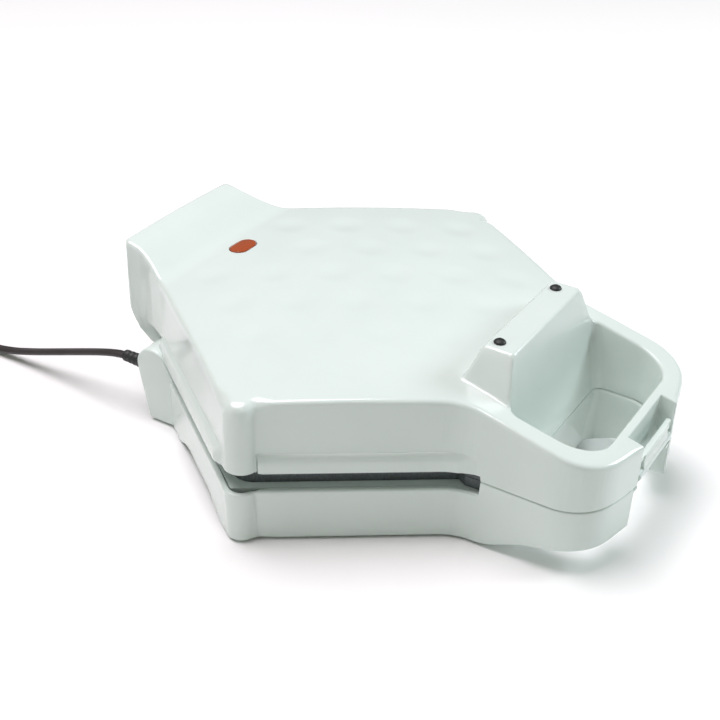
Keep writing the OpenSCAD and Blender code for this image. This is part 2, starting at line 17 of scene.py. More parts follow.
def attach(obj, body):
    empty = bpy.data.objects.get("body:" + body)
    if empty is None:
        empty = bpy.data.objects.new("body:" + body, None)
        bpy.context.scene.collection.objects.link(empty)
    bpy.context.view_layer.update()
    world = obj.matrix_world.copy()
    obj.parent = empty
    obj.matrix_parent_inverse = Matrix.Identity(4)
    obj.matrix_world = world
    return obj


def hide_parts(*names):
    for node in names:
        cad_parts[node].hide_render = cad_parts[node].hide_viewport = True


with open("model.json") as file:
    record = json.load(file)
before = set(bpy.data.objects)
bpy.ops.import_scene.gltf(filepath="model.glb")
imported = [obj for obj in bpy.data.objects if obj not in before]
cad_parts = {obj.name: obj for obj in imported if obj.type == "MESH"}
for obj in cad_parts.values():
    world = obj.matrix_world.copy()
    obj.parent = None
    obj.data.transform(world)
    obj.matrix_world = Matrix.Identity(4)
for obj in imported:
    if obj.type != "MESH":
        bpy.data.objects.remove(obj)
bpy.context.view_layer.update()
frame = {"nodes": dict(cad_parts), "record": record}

# %% [markdown]
# ## The camera
# It stands at the left of the handle, about 33 degrees up, with a short telephoto lens, and it
# is rolled by two degrees. It comes first, because what it doesn't see decides where the spare
# cord may lie.

# %% Camera
EYE = Vector((-0.5438, -0.29385, 0.43392))
AIM = Vector((-0.0459, -0.00232, 0.0724))
ROLL = math.radians(2.15)
LENS, SENSOR = 65.95, 36

camera = bpy.data.objects.new("camera", bpy.data.cameras.new("camera"))
camera.data.lens = LENS
camera.data.sensor_width = SENSOR
camera.location = EYE
camera.rotation_mode = "QUATERNION"
look = (AIM - EYE).to_track_quat("-Z", "Y")
camera.rotation_quaternion = look @ Quaternion((0, 0, 1), ROLL)
bpy.context.scene.collection.objects.link(camera)
bpy.context.scene.camera = camera
print("camera is", round((AIM - EYE).length, 3), "m from its aim")

# %% [markdown]
# ## Units and small helpers
# The product is drawn in millimetres, as its drawings are, and each mesh is scaled to metres
# once, when it is finished. A piece's object stays at the origin, so that its place is in its
# mesh. Faces that meet at less than 32 degrees are shaded as one surface.

# %% From a bmesh to a finished piece
MM = 0.001
SMOOTH_UNDER = math.radians(32)
REDRAWN = []


def piece(bm, name, body, stands_for, slot, angle=SMOOTH_UNDER):
    """Scales the bmesh to metres, makes it an object and lets it ride on its body."""
    bmesh.ops.scale(bm, vec=(MM, MM, MM), verts=bm.verts)
    for face in bm.faces:
        face.smooth = True
    for edge in bm.edges:
        edge.smooth = edge.calc_face_angle(0) < angle
    mesh = bpy.data.meshes.new(name)
    bm.to_mesh(mesh)
    faces = len(bm.faces)
    bm.free()
    made = bpy.data.objects.new(name, mesh)
    bpy.context.scene.collection.objects.link(made)
    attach(made, body)
    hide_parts(*stands_for)
    REDRAWN.append((made, slot))
    print(name, "has", faces, "faces")
    return made


# %% [markdown]
# ## Outlines
# A moulding is drawn from its plan: a path with a radius at each corner, resampled to short,
# even steps, so that the skin bends smoothly. Curve objects could give the arcs, but a plain
# path can be moved point by point later.

# %% Paths with rounded corners
def rounded(corners, turn_step=7, longest=2.5):
    """Open path through (x, y, radius) corners, with arcs, resampled to short steps."""
    path = [np.array(corners[0][:2], float)]
    for before, (x, y, radius), after in zip(corners, corners[1:], corners[2:]):
        corner = np.array((x, y), float)
        u = np.array(before[:2], float) - corner
        v = np.array(after[:2], float) - corner
        u, v = u / np.linalg.norm(u), v / np.linalg.norm(v)
        half = math.acos(max(-1, min(1, float(u @ v)))) / 2
        if radius <= 0 or half > math.pi / 2 - 0.01:
            path.append(corner)
            continue
        centre = corner + (u + v) / np.linalg.norm(u + v) * radius / math.sin(half)
        start = corner + u * radius / math.tan(half) - centre
        end = corner + v * radius / math.tan(half) - centre
        sweep = math.pi - 2 * half
        steps = max(2, math.ceil(math.degrees(sweep) / turn_step))
        for k in range(steps + 1):
            w = k / steps * sweep
            path.append(centre + (math.sin(sweep - w) * start + math.sin(w) * end) / math.sin(sweep))
    path.append(np.array(corners[-1][:2], float))
    fine = []
    for a, b in zip(path, path[1:]):
        parts = max(1, math.ceil(np.linalg.norm(b - a) / longest))
        fine += [a + (b - a) * k / parts for k in range(parts)]
    return np.array(fine + [path[-1]])


# %% [markdown]
# The maker's left and right are alike, so only the right half of a plan is written down. Lips,
# draft and soft edges are made by moving the points of a plan, so each point needs the
# direction that leads straight out of the wall.

# %% Mirroring a plan, and the way out of it
def mirrored(half):
    """Closed clockwise path from its right half, which runs from rear to front."""
    left = half[::-1] * (-1, 1)
    return np.concatenate([half, left[1:-1]])


def away(path):
    """Mitred unit normals on the left of a closed path, away from the material."""
    ahead = np.roll(path, -1, axis=0) - path
    ahead /= np.linalg.norm(ahead, axis=1)[:, None]
    left = np.stack([-ahead[:, 1], ahead[:, 0]], 1)
    both = left + np.roll(left, 1, axis=0)
    both /= np.linalg.norm(both, axis=1)[:, None]
    return both / np.clip((both * left).sum(1), 0.5, 1)[:, None]


# %% [markdown]
# ## The cord
# A flat twin lead, 5.9 by 3.8 mm, leaves the back of the left hinge ear, comes down to the
# table and runs back. A physics run could drop it there, but a listed route is the same each
# time.

# %% The cord's route
CORD_W, CORD_T = 5.9, 3.8
CORD_X, CORD_Z = -63.5, 33.8
CORD_ROUTE = [(-63.5, 142, 33.6), (-63.4, 150, 32.2), (-63.3, 160, 29.3), (-63.2, 172, 25.2),
              (-63.2, 184, 21), (-63.3, 196, 16.8), (-63.5, 208, 12.7), (-63.7, 220, 8.8),
              (-64, 232, 5.4), (-64.4, 245, 3), (-64.8, 258, 2.1), (-65.2, 271, 1.95),
              (-65.5, 284, 2.2), (-65.5, 297, 2.8)]
print("the seen stretch has", len(CORD_ROUTE), "points")

# %% [markdown]
# The rest of the 0.87 m is wound up behind, as for storage: an outer turn, an inner turn, up a
# layer, and out again to the plug. A short table of angles, radii and heights is enough, as the
# places between are eased.

# %% The coil
COIL_CENTRE = (-101, 312)
COIL_R = 33
LIFT = 0.9
OUTER_TURN, INNER_TURN = COIL_R + CORD_W / 2, COIL_R - CORD_W / 2
LOW, HIGH = LIFT + CORD_T / 2, LIFT + 1.5 * CORD_T
COIL_PLAN = [(0, OUTER_TURN, LOW), (250, OUTER_TURN, LOW), (360, INNER_TURN, LOW),
             (568, INNER_TURN, LOW), (635, INNER_TURN, HIGH), (825, INNER_TURN, HIGH),
             (935, OUTER_TURN, HIGH), (1170, OUTER_TURN, HIGH)]
COIL_STEP = 6
PLUG_START = Vector((-116.6, COIL_CENTRE[1] + OUTER_TURN, HIGH))


def ease(t):
    return t * t * (3 - 2 * t)


def coil_point(angle):
    for (a0, r0, z0), (a1, r1, z1) in zip(COIL_PLAN, COIL_PLAN[1:]):
        if angle <= a1:
            w = ease((angle - a0) / (a1 - a0))
            r, z = r0 + (r1 - r0) * w, z0 + (z1 - z0) * w
            break
    a = math.radians(angle)
    return Vector((COIL_CENTRE[0] + r * math.cos(a), COIL_CENTRE[1] + r * math.sin(a), z))


coil = [coil_point(a) for a in range(0, COIL_PLAN[-1][0] + 1, COIL_STEP)]
print("the coil turns", COIL_PLAN[-1][0], "degrees in", len(coil), "points")


# %% [markdown]
# A lead bends evenly, so its points are joined by a curve that goes smoothly through each.

# %% The whole way
def through(points, steps=4):
    """Smooth curve through the points, one short stretch after another."""
    out = []
    for i in range(len(points) - 1):
        p0, p1 = points[max(i - 1, 0)], points[i]
        p2, p3 = points[i + 1], points[min(i + 2, len(points) - 1)]
        for k in range(steps):
            t = k / steps
            out.append(0.5 * (2 * p1 + (p2 - p0) * t + (2 * p0 - 5 * p1 + 4 * p2 - p3) * t * t
                              + (3 * p1 - p0 - 3 * p2 + p3) * t ** 3))
    return out + [points[-1]]


inside_sleeve = [Vector((CORD_X, 131, CORD_Z)), Vector((CORD_X, 136, CORD_Z))]
way = through(inside_sleeve + [Vector(p) for p in CORD_ROUTE]) + coil + [PLUG_START]
cord_length = sum((b - a).length for a, b in zip(way, way[1:])) * MM
print("cord measures", round(cord_length, 3), "m over", len(way), "points")


# %% [markdown]
# The lead is two cores side by side under one sheath: a flat oval with a shallow groove along
# each flat side. A bevelled curve might twist it, so one ring of edges is extruded from point
# to point, always with its flat side down.

# %% Sweeping the section along the way
GROOVE_DEPTH, GROOVE_WIDTH = 0.16, 0.22
SECTION_POINTS = 24
UP = Vector((0, 0, 1))


def section_point(k):
    a = 2 * math.pi * k / SECTION_POINTS
    groove = 1 - GROOVE_DEPTH * math.exp(-(math.cos(a) / GROOVE_WIDTH) ** 2)
    return Vector((CORD_W / 2 * math.cos(a), CORD_T / 2 * math.sin(a) * groove))


def only_verts(geom):
    return [g for g in geom if isinstance(g, bmesh.types.BMVert)]


def only_edges(geom):
    return [g for g in geom if isinstance(g, bmesh.types.BMEdge)]


def sweep_lead(bm, points):
    """Extrudes the closed section along the points and caps both ends."""
    ring = [bm.verts.new((0, 0, 0)) for _ in range(SECTION_POINTS)]
    edges = [bm.edges.new(pair) for pair in zip(ring, ring[1:] + ring[:1])]
    first = edges
    for i, here in enumerate(points):
        if i:
            new = bmesh.ops.extrude_edge_only(bm, edges=edges)["geom"]
            fresh = {e.other_vert(v): v for v in only_verts(new)
                     for e in v.link_edges if e.other_vert(v) in ring}
            ring = [fresh[v] for v in ring]
            edges = [e for e in only_edges(new) if all(v in ring for v in e.verts)]
        ahead = (points[min(i + 1, len(points) - 1)] - points[max(i - 1, 0)]).normalized()
        across = ahead.cross(UP).normalized()
        over = across.cross(ahead)
        for k, v in enumerate(ring):
            s = section_point(k)
            v.co = here + (across * s.x + over * s.y)
    bmesh.ops.holes_fill(bm, edges=first + edges, sides=0)
    bmesh.ops.recalc_face_normals(bm, faces=bm.faces)


bm = bmesh.new()
sweep_lead(bm, way)
mains_cord = piece(bm, "flat_mains_cord", "base", ["mains_cord", "cord_coil"], "cord_vinyl", 1.0)

# %% [markdown]
# ## What is on the cord
# The sleeve, the plug and its pins are round. A cylinder could be edited, but half a profile,
# spun once round its axis, gives clean rings of faces and closed poles at once.

# %% Turned pieces
def turned(bm, profile, steps=48, place=Matrix()):
    """Spins (radius, height) points round Z and closes the poles."""
    verts = [bm.verts.new((max(r, 0), 0, z)) for r, z in profile]
    edges = [bm.edges.new(pair) for pair in zip(verts, verts[1:])]
    before = set(bm.verts)
    bmesh.ops.spin(bm, geom=verts + edges, cent=(0, 0, 0), axis=(0, 0, 1),
                   angle=2 * math.pi, steps=steps, use_merge=True)
    new = [v for v in bm.verts if v not in before] + verts
    new = [v for v in set(new) if v.is_valid]
    bmesh.ops.remove_doubles(bm, verts=new, dist=0.001)
    new = [v for v in new if v.is_valid]
    faces = list({f for v in new for f in v.link_faces})
    bmesh.ops.recalc_face_normals(bm, faces=faces)
    bmesh.ops.transform(bm, matrix=place, verts=new)


# %% [markdown]
# The sleeve leaves the ear, tapers, and is ringed with grooves, so that it bends instead of the
# lead. The grooves are a squared sine along the profile: rounded at the bottom and at the edge.

# %% The cord's sleeve
RING_POINTS = 8
SLEEVE_AT = Matrix.Translation((CORD_X, 0, CORD_Z)) @ Matrix.Rotation(-math.pi / 2, 4, "X")


def ringed(r0, r1, z0, z1, rings, depth):
    """Tapering profile with rounded grooves."""
    out = []
    count = rings * RING_POINTS
    for k in range(count + 1):
        t = k / count
        dent = depth * max(0, math.sin(2 * math.pi * rings * t)) ** 2
        out.append((r0 + (r1 - r0) * t - dent, z0 + (z1 - z0) * t))
    return out


sleeve_profile = [(2.6, 120.8), (3.2, 121), (3.3, 129.8), (3.6, 129.85), (3.8, 130.1), (3.8, 131.2)]
sleeve_profile += ringed(3.7, 3.35, 131.6, 141, 3, 0.3)
sleeve_profile += [(3.2, 141.8), (3, 142), (2.6, 142)]
bm = bmesh.new()
turned(bm, sleeve_profile, 48, SLEEVE_AT)
sleeve = piece(bm, "cord_sleeve", "base", ["strain_relief"], "black_rubber")

# %% [markdown]
# The plug is a round two-pin moulding: a ringed neck where the lead enters, a cone, a rim and a
# flat face. It lies on its side at the end of the lead.

# %% Plug
PLUG_TILT = math.radians(-75)
PLUG_AT = Matrix.Translation(PLUG_START) @ Matrix.Rotation(PLUG_TILT, 4, "Y")
plug_profile = [(0, 0), (3.4, 0), (3.9, 0.4)] + ringed(4, 5.4, 1, 11, 4, 0.6)
plug_profile += [(5.6, 12), (7.2, 12.6), (8.2, 14), (9.6, 18), (11.8, 23), (14.2, 28), (16, 32)]
plug_profile += [(17, 34.6), (17.45, 35.6), (17.5, 36.4), (17.5, 41.6), (17.3, 42.4), (16.7, 43)]
plug_profile += [(14.5, 43), (14.2, 42.4), (0, 42.4)]
bm = bmesh.new()
turned(bm, plug_profile, 72, PLUG_AT)
bmesh.ops.recalc_face_normals(bm, faces=bm.faces)
plug = piece(bm, "round_plug", "base", ["plug_body"], "cord_vinyl")

# %% [markdown]
# The two pins are turned brass with rounded ends, 19 mm apart. They start inside the plug.

# %% Plug pins
PIN_SPREAD = 9.5
pin_profile = [(0, 41), (2.4, 41), (2.4, 60), (2.25, 61), (1.9, 61.6), (1.3, 61.95), (0, 62)]
bm = bmesh.new()
for side in (-1, 1):
    turned(bm, pin_profile, 32, PLUG_AT @ Matrix.Translation((0, side * PIN_SPREAD, 0)))
plug_pins = piece(bm, "plug_contact_pins", "base", ["plug_pins"], "plug_brass")

# %% [markdown]
# A thin plastic tie holds the coil's turns together. It is a closed strip round the section of
# all four turns, extruded to its width and then given its thickness by solidify.

# %% Tie round the coil
TIE_WIDE, TIE_THICK = 5, 0.45
TIE_AT = Vector((COIL_CENTRE[0] - COIL_R, COIL_CENTRE[1], LIFT + CORD_T))
TIE_HALF = (CORD_W + 0.45, CORD_T + 0.35)
tie_corners = [(0, TIE_HALF[1], 0), (TIE_HALF[0], TIE_HALF[1], 1.5),
               (TIE_HALF[0], -TIE_HALF[1], 1.5), (0, -TIE_HALF[1], 0)]
tie_loop = mirrored(rounded(tie_corners, 15, 3))
bm = bmesh.new()
tie_ring = [bm.verts.new(TIE_AT + Vector((x, -TIE_WIDE / 2, y))) for x, y in tie_loop]
tie_edges = [bm.edges.new(pair) for pair in zip(tie_ring, tie_ring[1:] + tie_ring[:1])]
wide = bmesh.ops.extrude_edge_only(bm, edges=tie_edges)["geom"]
bmesh.ops.translate(bm, vec=(0, TIE_WIDE, 0), verts=only_verts(wide))
bmesh.ops.recalc_face_normals(bm, faces=bm.faces)
bmesh.ops.solidify(bm, geom=bm.faces, thickness=TIE_THICK)
tie = piece(bm, "coil_tie", "base", ["cord_tie"], "black_plastic")

# %% [markdown]
# The cord is drawn as one piece, with its real length, from where it leaves the maker to the
# plug.

print("the cord is drawn with what is on it")

# %% [markdown]
# ## How the mouldings are drawn
# A moulded shell has one skin: a crowned top, a soft edge all round, a side wall and a lip. It
# could be joined from solids, but bevels fail where so many edges meet. So it is drawn as one
# skin. The top is filled between its outline and its openings, and cut into small cells, which
# then take their height from a formula.

# %% A sheet between loops
def sheet_between(bm, loops, x_cuts=(), y_cuts=()):
    """Fills the outer loop but not the inner ones, and cuts the sheet into cells."""
    edges = []
    for loop in loops:
        verts = [bm.verts.new((x, y, 0)) for x, y in loop]
        edges += [bm.edges.new(pair) for pair in zip(verts, verts[1:] + verts[:1])]
    bmesh.ops.triangle_fill(bm, edges=edges, use_beauty=True, normal=(0, 0, 1))
    for axis, cuts in (((1, 0, 0), x_cuts), ((0, 1, 0), y_cuts)):
        for cut in cuts:
            bmesh.ops.bisect_plane(bm, geom=bm.verts[:] + bm.edges[:] + bm.faces[:], dist=1e-5,
                                   plane_co=Vector(axis) * float(cut), plane_no=axis)
    slanted = []
    for edge in bm.edges:
        a, b = (v.co for v in edge.verts)
        if len(edge.link_faces) == 2 and abs(a.x - b.x) > 1e-4 and abs(a.y - b.y) > 1e-4:
            slanted.append(edge)
    if x_cuts:
        bmesh.ops.dissolve_edges(bm, edges=slanted, use_verts=False)
        spare = [v for v in bm.verts if len(v.link_edges) == 2 and not v.is_boundary]
        bmesh.ops.dissolve_verts(bm, verts=spare)


# %% [markdown]
# The border of the sheet is then drawn down, row by row. Each border point keeps its place
# along the outline: after which of the outline's points it comes, and how far. So the rows
# never cross.

# %% Rows drawn from a border
ON_LOOP = 0.01


def border(bm, loop):
    """The border vertices on a loop, each with the point before it and its share of the way on."""
    step = np.roll(loop, -1, axis=0) - loop
    found = {}
    for v in bm.verts:
        if not v.is_boundary:
            continue
        rel = np.array(v.co.xy) - loop
        share = np.clip((rel * step).sum(1) / (step ** 2).sum(1), 0, 1)
        miss = np.linalg.norm(rel - share[:, None] * step, axis=1)
        i = int(miss.argmin())
        if miss[i] < ON_LOOP:
            found[v] = (i, float(share[i]))
    return found


def draw_rows(bm, ring, rows):
    """Extrudes a border through rows of points."""
    edges = [e for e in bm.edges if len(e.link_faces) == 1 and all(v in ring for v in e.verts)]
    for row in rows:
        made = bmesh.ops.extrude_edge_only(bm, edges=edges)["geom"]
        fresh = {}
        for v in only_verts(made):
            for e in v.link_edges:
                if e.other_vert(v) in ring:
                    fresh[v] = ring[e.other_vert(v)]
        for v, (i, share) in fresh.items():
            v.co = row[i] * (1 - share) + row[(i + 1) % len(row)] * share
        ring = fresh
        edges = [e for e in only_edges(made) if all(v in fresh for v in e.verts)]


# %% [markdown]
# Four helpers give a plan its heights, raise a sheet, find where two walls meet, and space the
# cuts of a sheet. The cuts are shifted a little, so that none goes through an outline's point.

# %% Heights, crossings and cuts
OFF_POINTS = 0.0137
SOFT_EDGE = [math.radians(turn) for turn in (22.5, 45, 67.5, 90)]


def lifted(plan, z):
    """A plan with its heights, as rows of 3-D points."""
    return np.column_stack([plan, np.broadcast_to(z, len(plan))])


def raise_sheet(bm, height):
    """Moves every vertex to the height that a formula gives for its place."""
    for v, z in zip(bm.verts, height(*np.array([v.co.xy for v in bm.verts]).T)):
        v.co.z = z


def crossing(n1, d1, n2, d2):
    """Where two walls meet, each given by its normal and its distance."""
    return np.linalg.solve(np.array([n1, n2]), np.array([d1, d2]))


def spaced(low, high, step):
    count = max(2, round((high - low) / step) + 1)
    return list(np.linspace(low, high, count)[:-1] + OFF_POINTS)


# %% [markdown]
# ## The lid's top
# The crown is part of a large ball, 2.3 m across. The handle's top slopes down from it, the
# hinge cover rises as a ramp behind it, and a block with splayed sides stands across it. Each
# meets the next in a soft valley or ridge. The top could be sculpted, but a formula of smooth
# minima and maxima keeps every slope straight.

# %% Smooth minimum and maximum
def soft_min(a, b, k):
    return np.minimum(a, b) - np.maximum(k - np.abs(a - b), 0) ** 2 / (4 * k)


def soft_max(a, b, k):
    return -soft_min(-a, -b, k)


def straight(y, start, height, rise):
    """Height of a straight slope that passes through a known point."""
    return height + rise * (y - start)


# %% Crown, handle and hinge ramp
BALL_ACROSS = 2300
CROWN_TOP, CROWN_Y = 89.5, 38
HANDLE_SLOPES = ((-72, 83, 0.25), (-72, 84.6, 0.314))
RAMP_SLOPES = ((118, 86.9, 0.42), (141, 96.4, 0.2))


def crown_and_handle(x, y):
    crown = CROWN_TOP - x * x / BALL_ACROSS - (y - CROWN_Y) ** 2 / BALL_ACROSS
    near_front, near_crown = (straight(y, *slope) for slope in HANDLE_SLOPES)
    return soft_min(crown, soft_max(near_front, near_crown, 1), 6)


def hinge_ramp(x, y):
    lower, upper = (straight(y, *slope) for slope in RAMP_SLOPES)
    return soft_min(lower, upper, 1) - x * x / BALL_ACROSS


# %% [markdown]
# The block carries the front screws under two rubber plugs. Its side, rear and front faces are
# straight slopes from its foot to its flat top.

# %% The block behind the finger opening
BLOCK_FOOT, BLOCK_TOP = 84, 101.4
BLOCK_HALF, SIDE_RISE = 48, 2.32
BLOCK_REAR, REAR_RISE = -62, 2.9
BLOCK_FRONT, FRONT_RISE = -89.3, 4.54


def bridge_block(x, y):
    sides = BLOCK_FOOT + (BLOCK_HALF - np.abs(x)) * SIDE_RISE
    behind = BLOCK_FOOT + (BLOCK_REAR - y) * REAR_RISE
    front = BLOCK_FOOT + (y - BLOCK_FRONT) * FRONT_RISE
    return soft_min(soft_min(soft_min(sides, behind, 4), front, 1), BLOCK_TOP + 0 * x, 3)


# %% [markdown]
# Shallow round dimples in staggered rows decorate the crown, and a shallow hollow sinks each
# rubber plug. Both are simply taken off the height.

# %% Dimples and hollows
DIMPLE_R, DIMPLE_DEPTH = 13, 0.6
DIMPLE_START, DIMPLE_GAP, DIMPLE_ROW_GAP = 15.2, 37.7, 27.6
PLUG_SPOTS = [(-33, -73.5), (33, -73.5)]
HOLLOW_R, HOLLOW_DEPTH = 3.6, 0.3
WINDOW_SPOT = (3, 0)
DIMPLES = []
for row in range(-2, 4):
    y = DIMPLE_START + DIMPLE_ROW_GAP * row
    row_half = 104 - 0.75 * abs(y - 19)
    for column in range(-3, 4):
        x = (column + (0 if row % 2 else 0.5)) * DIMPLE_GAP
        if abs(x) < row_half and (row, column) != WINDOW_SPOT:
            DIMPLES.append((x, y))


def fade(value, start, length):
    """Goes from 0 to 1 between the start and the start plus the length."""
    return np.clip((value - start) / length, 0, 1)


def lid_top(x, y):
    """Height of the lid's top over any place."""
    x, y = np.asarray(x, float), np.asarray(y, float)
    top = soft_max(crown_and_handle(x, y), hinge_ramp(x, y), 3)
    top = soft_max(top, bridge_block(x, y), 4)
    for cx, cy in DIMPLES:
        near = np.minimum(np.hypot(x - cx, y - cy) / DIMPLE_R, 1)
        top = top - DIMPLE_DEPTH / 2 * (1 + np.cos(math.pi * near))
    for cx, cy in PLUG_SPOTS:
        beyond = fade(np.hypot(x - cx, y - cy), HOLLOW_R, 1)
        top = top - HOLLOW_DEPTH * (1 - ease(beyond))
    return top


print("the lid's top is", round(float(lid_top(0, 38)), 2), "mm up, with", len(DIMPLES), "dimples")

# %% [markdown]
# ## The lid's plan
# A flat hexagon with a round column at each side, a loop handle in front and the hinge cover
# behind. The front walls lie 3.5 mm deeper than the columns, and the handle's front has a
# notch for the clip. Each wall is known by its direction and its distance from the column's
# axis, so the corners are worked out as crossings.

# %% Outline of the lid
COLUMN = np.array((121.5, 19.0))
COLUMN_R = 9
FRONT_REACH = 5.49
REAR_WALL = np.array((0.8017, 0.5975))
COLUMN_FRONT = np.array((0.1736, -0.9848))
FRONT_WALL = np.array((0.8165, -0.5773))

column_corner = crossing(REAR_WALL, REAR_WALL @ COLUMN + COLUMN_R,
                         COLUMN_FRONT, COLUMN_FRONT @ COLUMN + COLUMN_R)
inner_corner = crossing(COLUMN_FRONT, COLUMN_FRONT @ COLUMN + COLUMN_R,
                        FRONT_WALL, FRONT_WALL @ COLUMN + FRONT_REACH)
lid_line = mirrored(rounded([
    (0, 152), (48, 152, 4), (48, 140, 30), (52, 130, 30), (58.5, 118, 30), (*column_corner, 9),
    (*inner_corner, 2.2), (64, -71.8, 30), (64, -83.8, 0), (64, -84.2, 0), (64, -138.6, 26),
    (43, -146.1, 50), (22.5, -150.4, 0.8), (22.5, -141.5, 0.8), (0, -141.5)]))
lid_away = away(lid_line)
print("the lid's outline has", len(lid_line), "points")

# %% [markdown]
# ## The finger opening
# The fingers go through a rounded opening behind the handle. Its walls lean back, as a mould
# needs, so its plan depends on the height. Where a leaning wall comes out of the top is found by
# halving the range until both heights agree.

# %% The opening's plan at any height
GRIP_HALF, GRIP_FRONT, GRIP_REAR, GRIP_Z = 48.5, -134.5, -97.6, 40
SIDE_LEAN, FRONT_LEAN, REAR_LEAN = 0.11, 0.09, 0.205
grip_line = mirrored(rounded([(0, GRIP_FRONT), (GRIP_HALF, GRIP_FRONT, 17), (GRIP_HALF, GRIP_REAR, 5),
                              (0, GRIP_REAR)]))
grip_away = away(grip_line)


def grip_at(z):
    """Plan of the opening where each of its points has its own height."""
    up = np.broadcast_to(np.asarray(z, float), len(grip_line)) - GRIP_Z
    front, rear = GRIP_FRONT - FRONT_LEAN * up, GRIP_REAR + REAR_LEAN * up
    along = (grip_line[:, 1] - GRIP_FRONT) / (GRIP_REAR - GRIP_FRONT)
    wide = grip_line[:, 0] * (GRIP_HALF + SIDE_LEAN * up) / GRIP_HALF
    return np.column_stack([wide, front + along * (rear - front)])


def meeting_height():
    """Where each wall line of the opening comes out of the lid's top."""
    low, high = np.full(len(grip_line), 41.0), np.full(len(grip_line), 112.0)
    for _ in range(30):
        middle = (low + high) / 2
        above = middle > lid_top(*grip_at(middle).T)
        low, high = np.where(above, low, middle), np.where(above, middle, high)
    return low


grip_top = meeting_height()
print("the opening's edge is", grip_top.min().round(1), "to", grip_top.max().round(1), "mm up")

# %% [markdown]
# ## The lid's side walls
# The straight walls end in a rounded shoulder and a lip that stands out 3 mm over the gap. The
# lip is part of the moulding, so it is drawn in the same rows as the wall. The columns and the
# handle have no lip, so each point of the outline has its own share of it.

# %% Each point's share of the lip
plan_x, plan_y = np.abs(lid_line[:, 0]), lid_line[:, 1]
folded = np.column_stack([plan_x, plan_y])
column_foot = COLUMN + COLUMN_R * REAR_WALL


def from_point(point):
    """How far each point of the outline is from a point of the right half."""
    return np.hypot(plan_x - point[0], plan_y - point[1])


on_rear = (np.abs(folded @ REAR_WALL - REAR_WALL @ column_foot) < 0.4) & (plan_y > 20)
on_front = (np.abs(folded @ FRONT_WALL - FRONT_WALL @ COLUMN - FRONT_REACH) < 0.6) & (plan_y < 15)
into_bend = (plan_y < -50) & (plan_y > -84)
rear_lip = np.where(on_rear, fade(from_point(column_foot), 4, 2), 0)
rear_lip = np.where(plan_y > 112, fade(plan_y, 118.5, -2), rear_lip)
front_lip = np.where(on_front | into_bend, fade(from_point(inner_corner), 0.5, 0.5), 0)
lip_share = np.maximum(rear_lip, front_lip * fade(plan_y, -82, 10))
print("the full lip runs along", int((lip_share == 1).sum()), "of", len(lid_line), "points")

# %% [markdown]
# The edge of the top is a quarter round: 2.5 mm on the walls, sharper in the clip's notch and
# softer on the columns. A bevel would give one width only, but rows drawn down from the border
# can have another radius at each point.

# %% The rounded edge of the top
NOTCH_END, NOTCH_EDGE, EDGE, COLUMN_EXTRA = 23.5, 0.8, 2.5, 3
beside_notch = np.clip(NOTCH_EDGE + (plan_x - NOTCH_END) * 0.3, NOTCH_EDGE, EDGE)
edge_r = np.where(plan_y < -145, beside_notch, EDGE)
edge_r = np.where((plan_x < NOTCH_END) & (plan_y < -140), NOTCH_EDGE, edge_r)
edge_r = edge_r + COLUMN_EXTRA * fade(from_point(COLUMN), 16, -5)

top_border = lid_line - lid_away * edge_r[:, None]
lid_rows = []
for a in SOFT_EDGE:
    plan = top_border + lid_away * (edge_r * math.sin(a))[:, None]
    lid_rows.append(lifted(plan, lid_top(*plan.T) - edge_r * (1 - math.cos(a))))
print("edge radii run from", edge_r.min(), "to", edge_r.max().round(2), "mm")

# %% [markdown]
# Below its edge the wall goes straight down, and then steps out to the lip. At the back it has
# no lip: it curls forward under the hinge, so that the lid can swing. Round the handle it
# reaches 2.8 mm lower, down to the line where the lid and the base meet. The lip is a list of
# heights and steps outwards, the curl one of heights and places, and each point of a row follows
# one or the other.

# %% The wall, the lip and the curl
LIP = [(54.2, 0), (53.2, 0), (51.9, 1.3), (50.4, 2.3), (48.5, 2.85), (46.8, 3), (43.4, 3), (43, 2.6),
       (43, 1.2), (43, 0), (43, -1.4), (43.2, -2.8), (46, -2.8)]
CURL = [(58, 151.9), (57, 151.8), (54.5, 151.5), (51.5, 150.2), (50.4, 149.6), (50.2, 149.5),
        (43.5, 145.2), (40, 140.3), (37.8, 137), (36.4, 128.5), (36.9, 126), (40, 122), (44, 118.5)]
WALL_FOOT = 58
HANDLE_Z, HANDLE_DEEP, LID_DEEP = 56, 15.8, 13
HINGE_Y, HINGE_Z = 119, 36
COVER_DEEP, COVER_HALF, CURL_STARTS = 33, 48, 50.3

edge_foot = lid_rows[-1][:, 2]
for share in (0.12, 0.4, 0.7):
    lid_rows.append(lifted(lid_line, edge_foot + (WALL_FOOT - edge_foot) * share))
rear, handle = plan_y > HINGE_Y, plan_y < -84
for (z, out), (curl_z, curl_y) in zip(LIP, CURL):
    plan = lid_line + lid_away * np.where(out > 0, out * lip_share, out)[:, None]
    height = np.where(handle, HANDLE_Z - (HANDLE_Z - z) * HANDLE_DEEP / LID_DEEP, z)
    squeezed = HINGE_Y + (plan_y - HINGE_Y) * (curl_y - HINGE_Y) / COVER_DEEP
    pulled = np.clip(lid_line[:, 0], -COVER_HALF, COVER_HALF) if curl_z < CURL_STARTS else lid_line[:, 0]
    plan[rear] = np.column_stack([pulled, squeezed])[rear]
    lid_rows.append(lifted(plan, np.where(rear, curl_z, height)))
print("the lid's wall has", len(lid_rows), "rows")

# %% [markdown]
# The wall of the finger opening has a 2 mm soft edge, leans down to the meeting line and turns
# back under its foot, so that no sharp rim touches a finger.

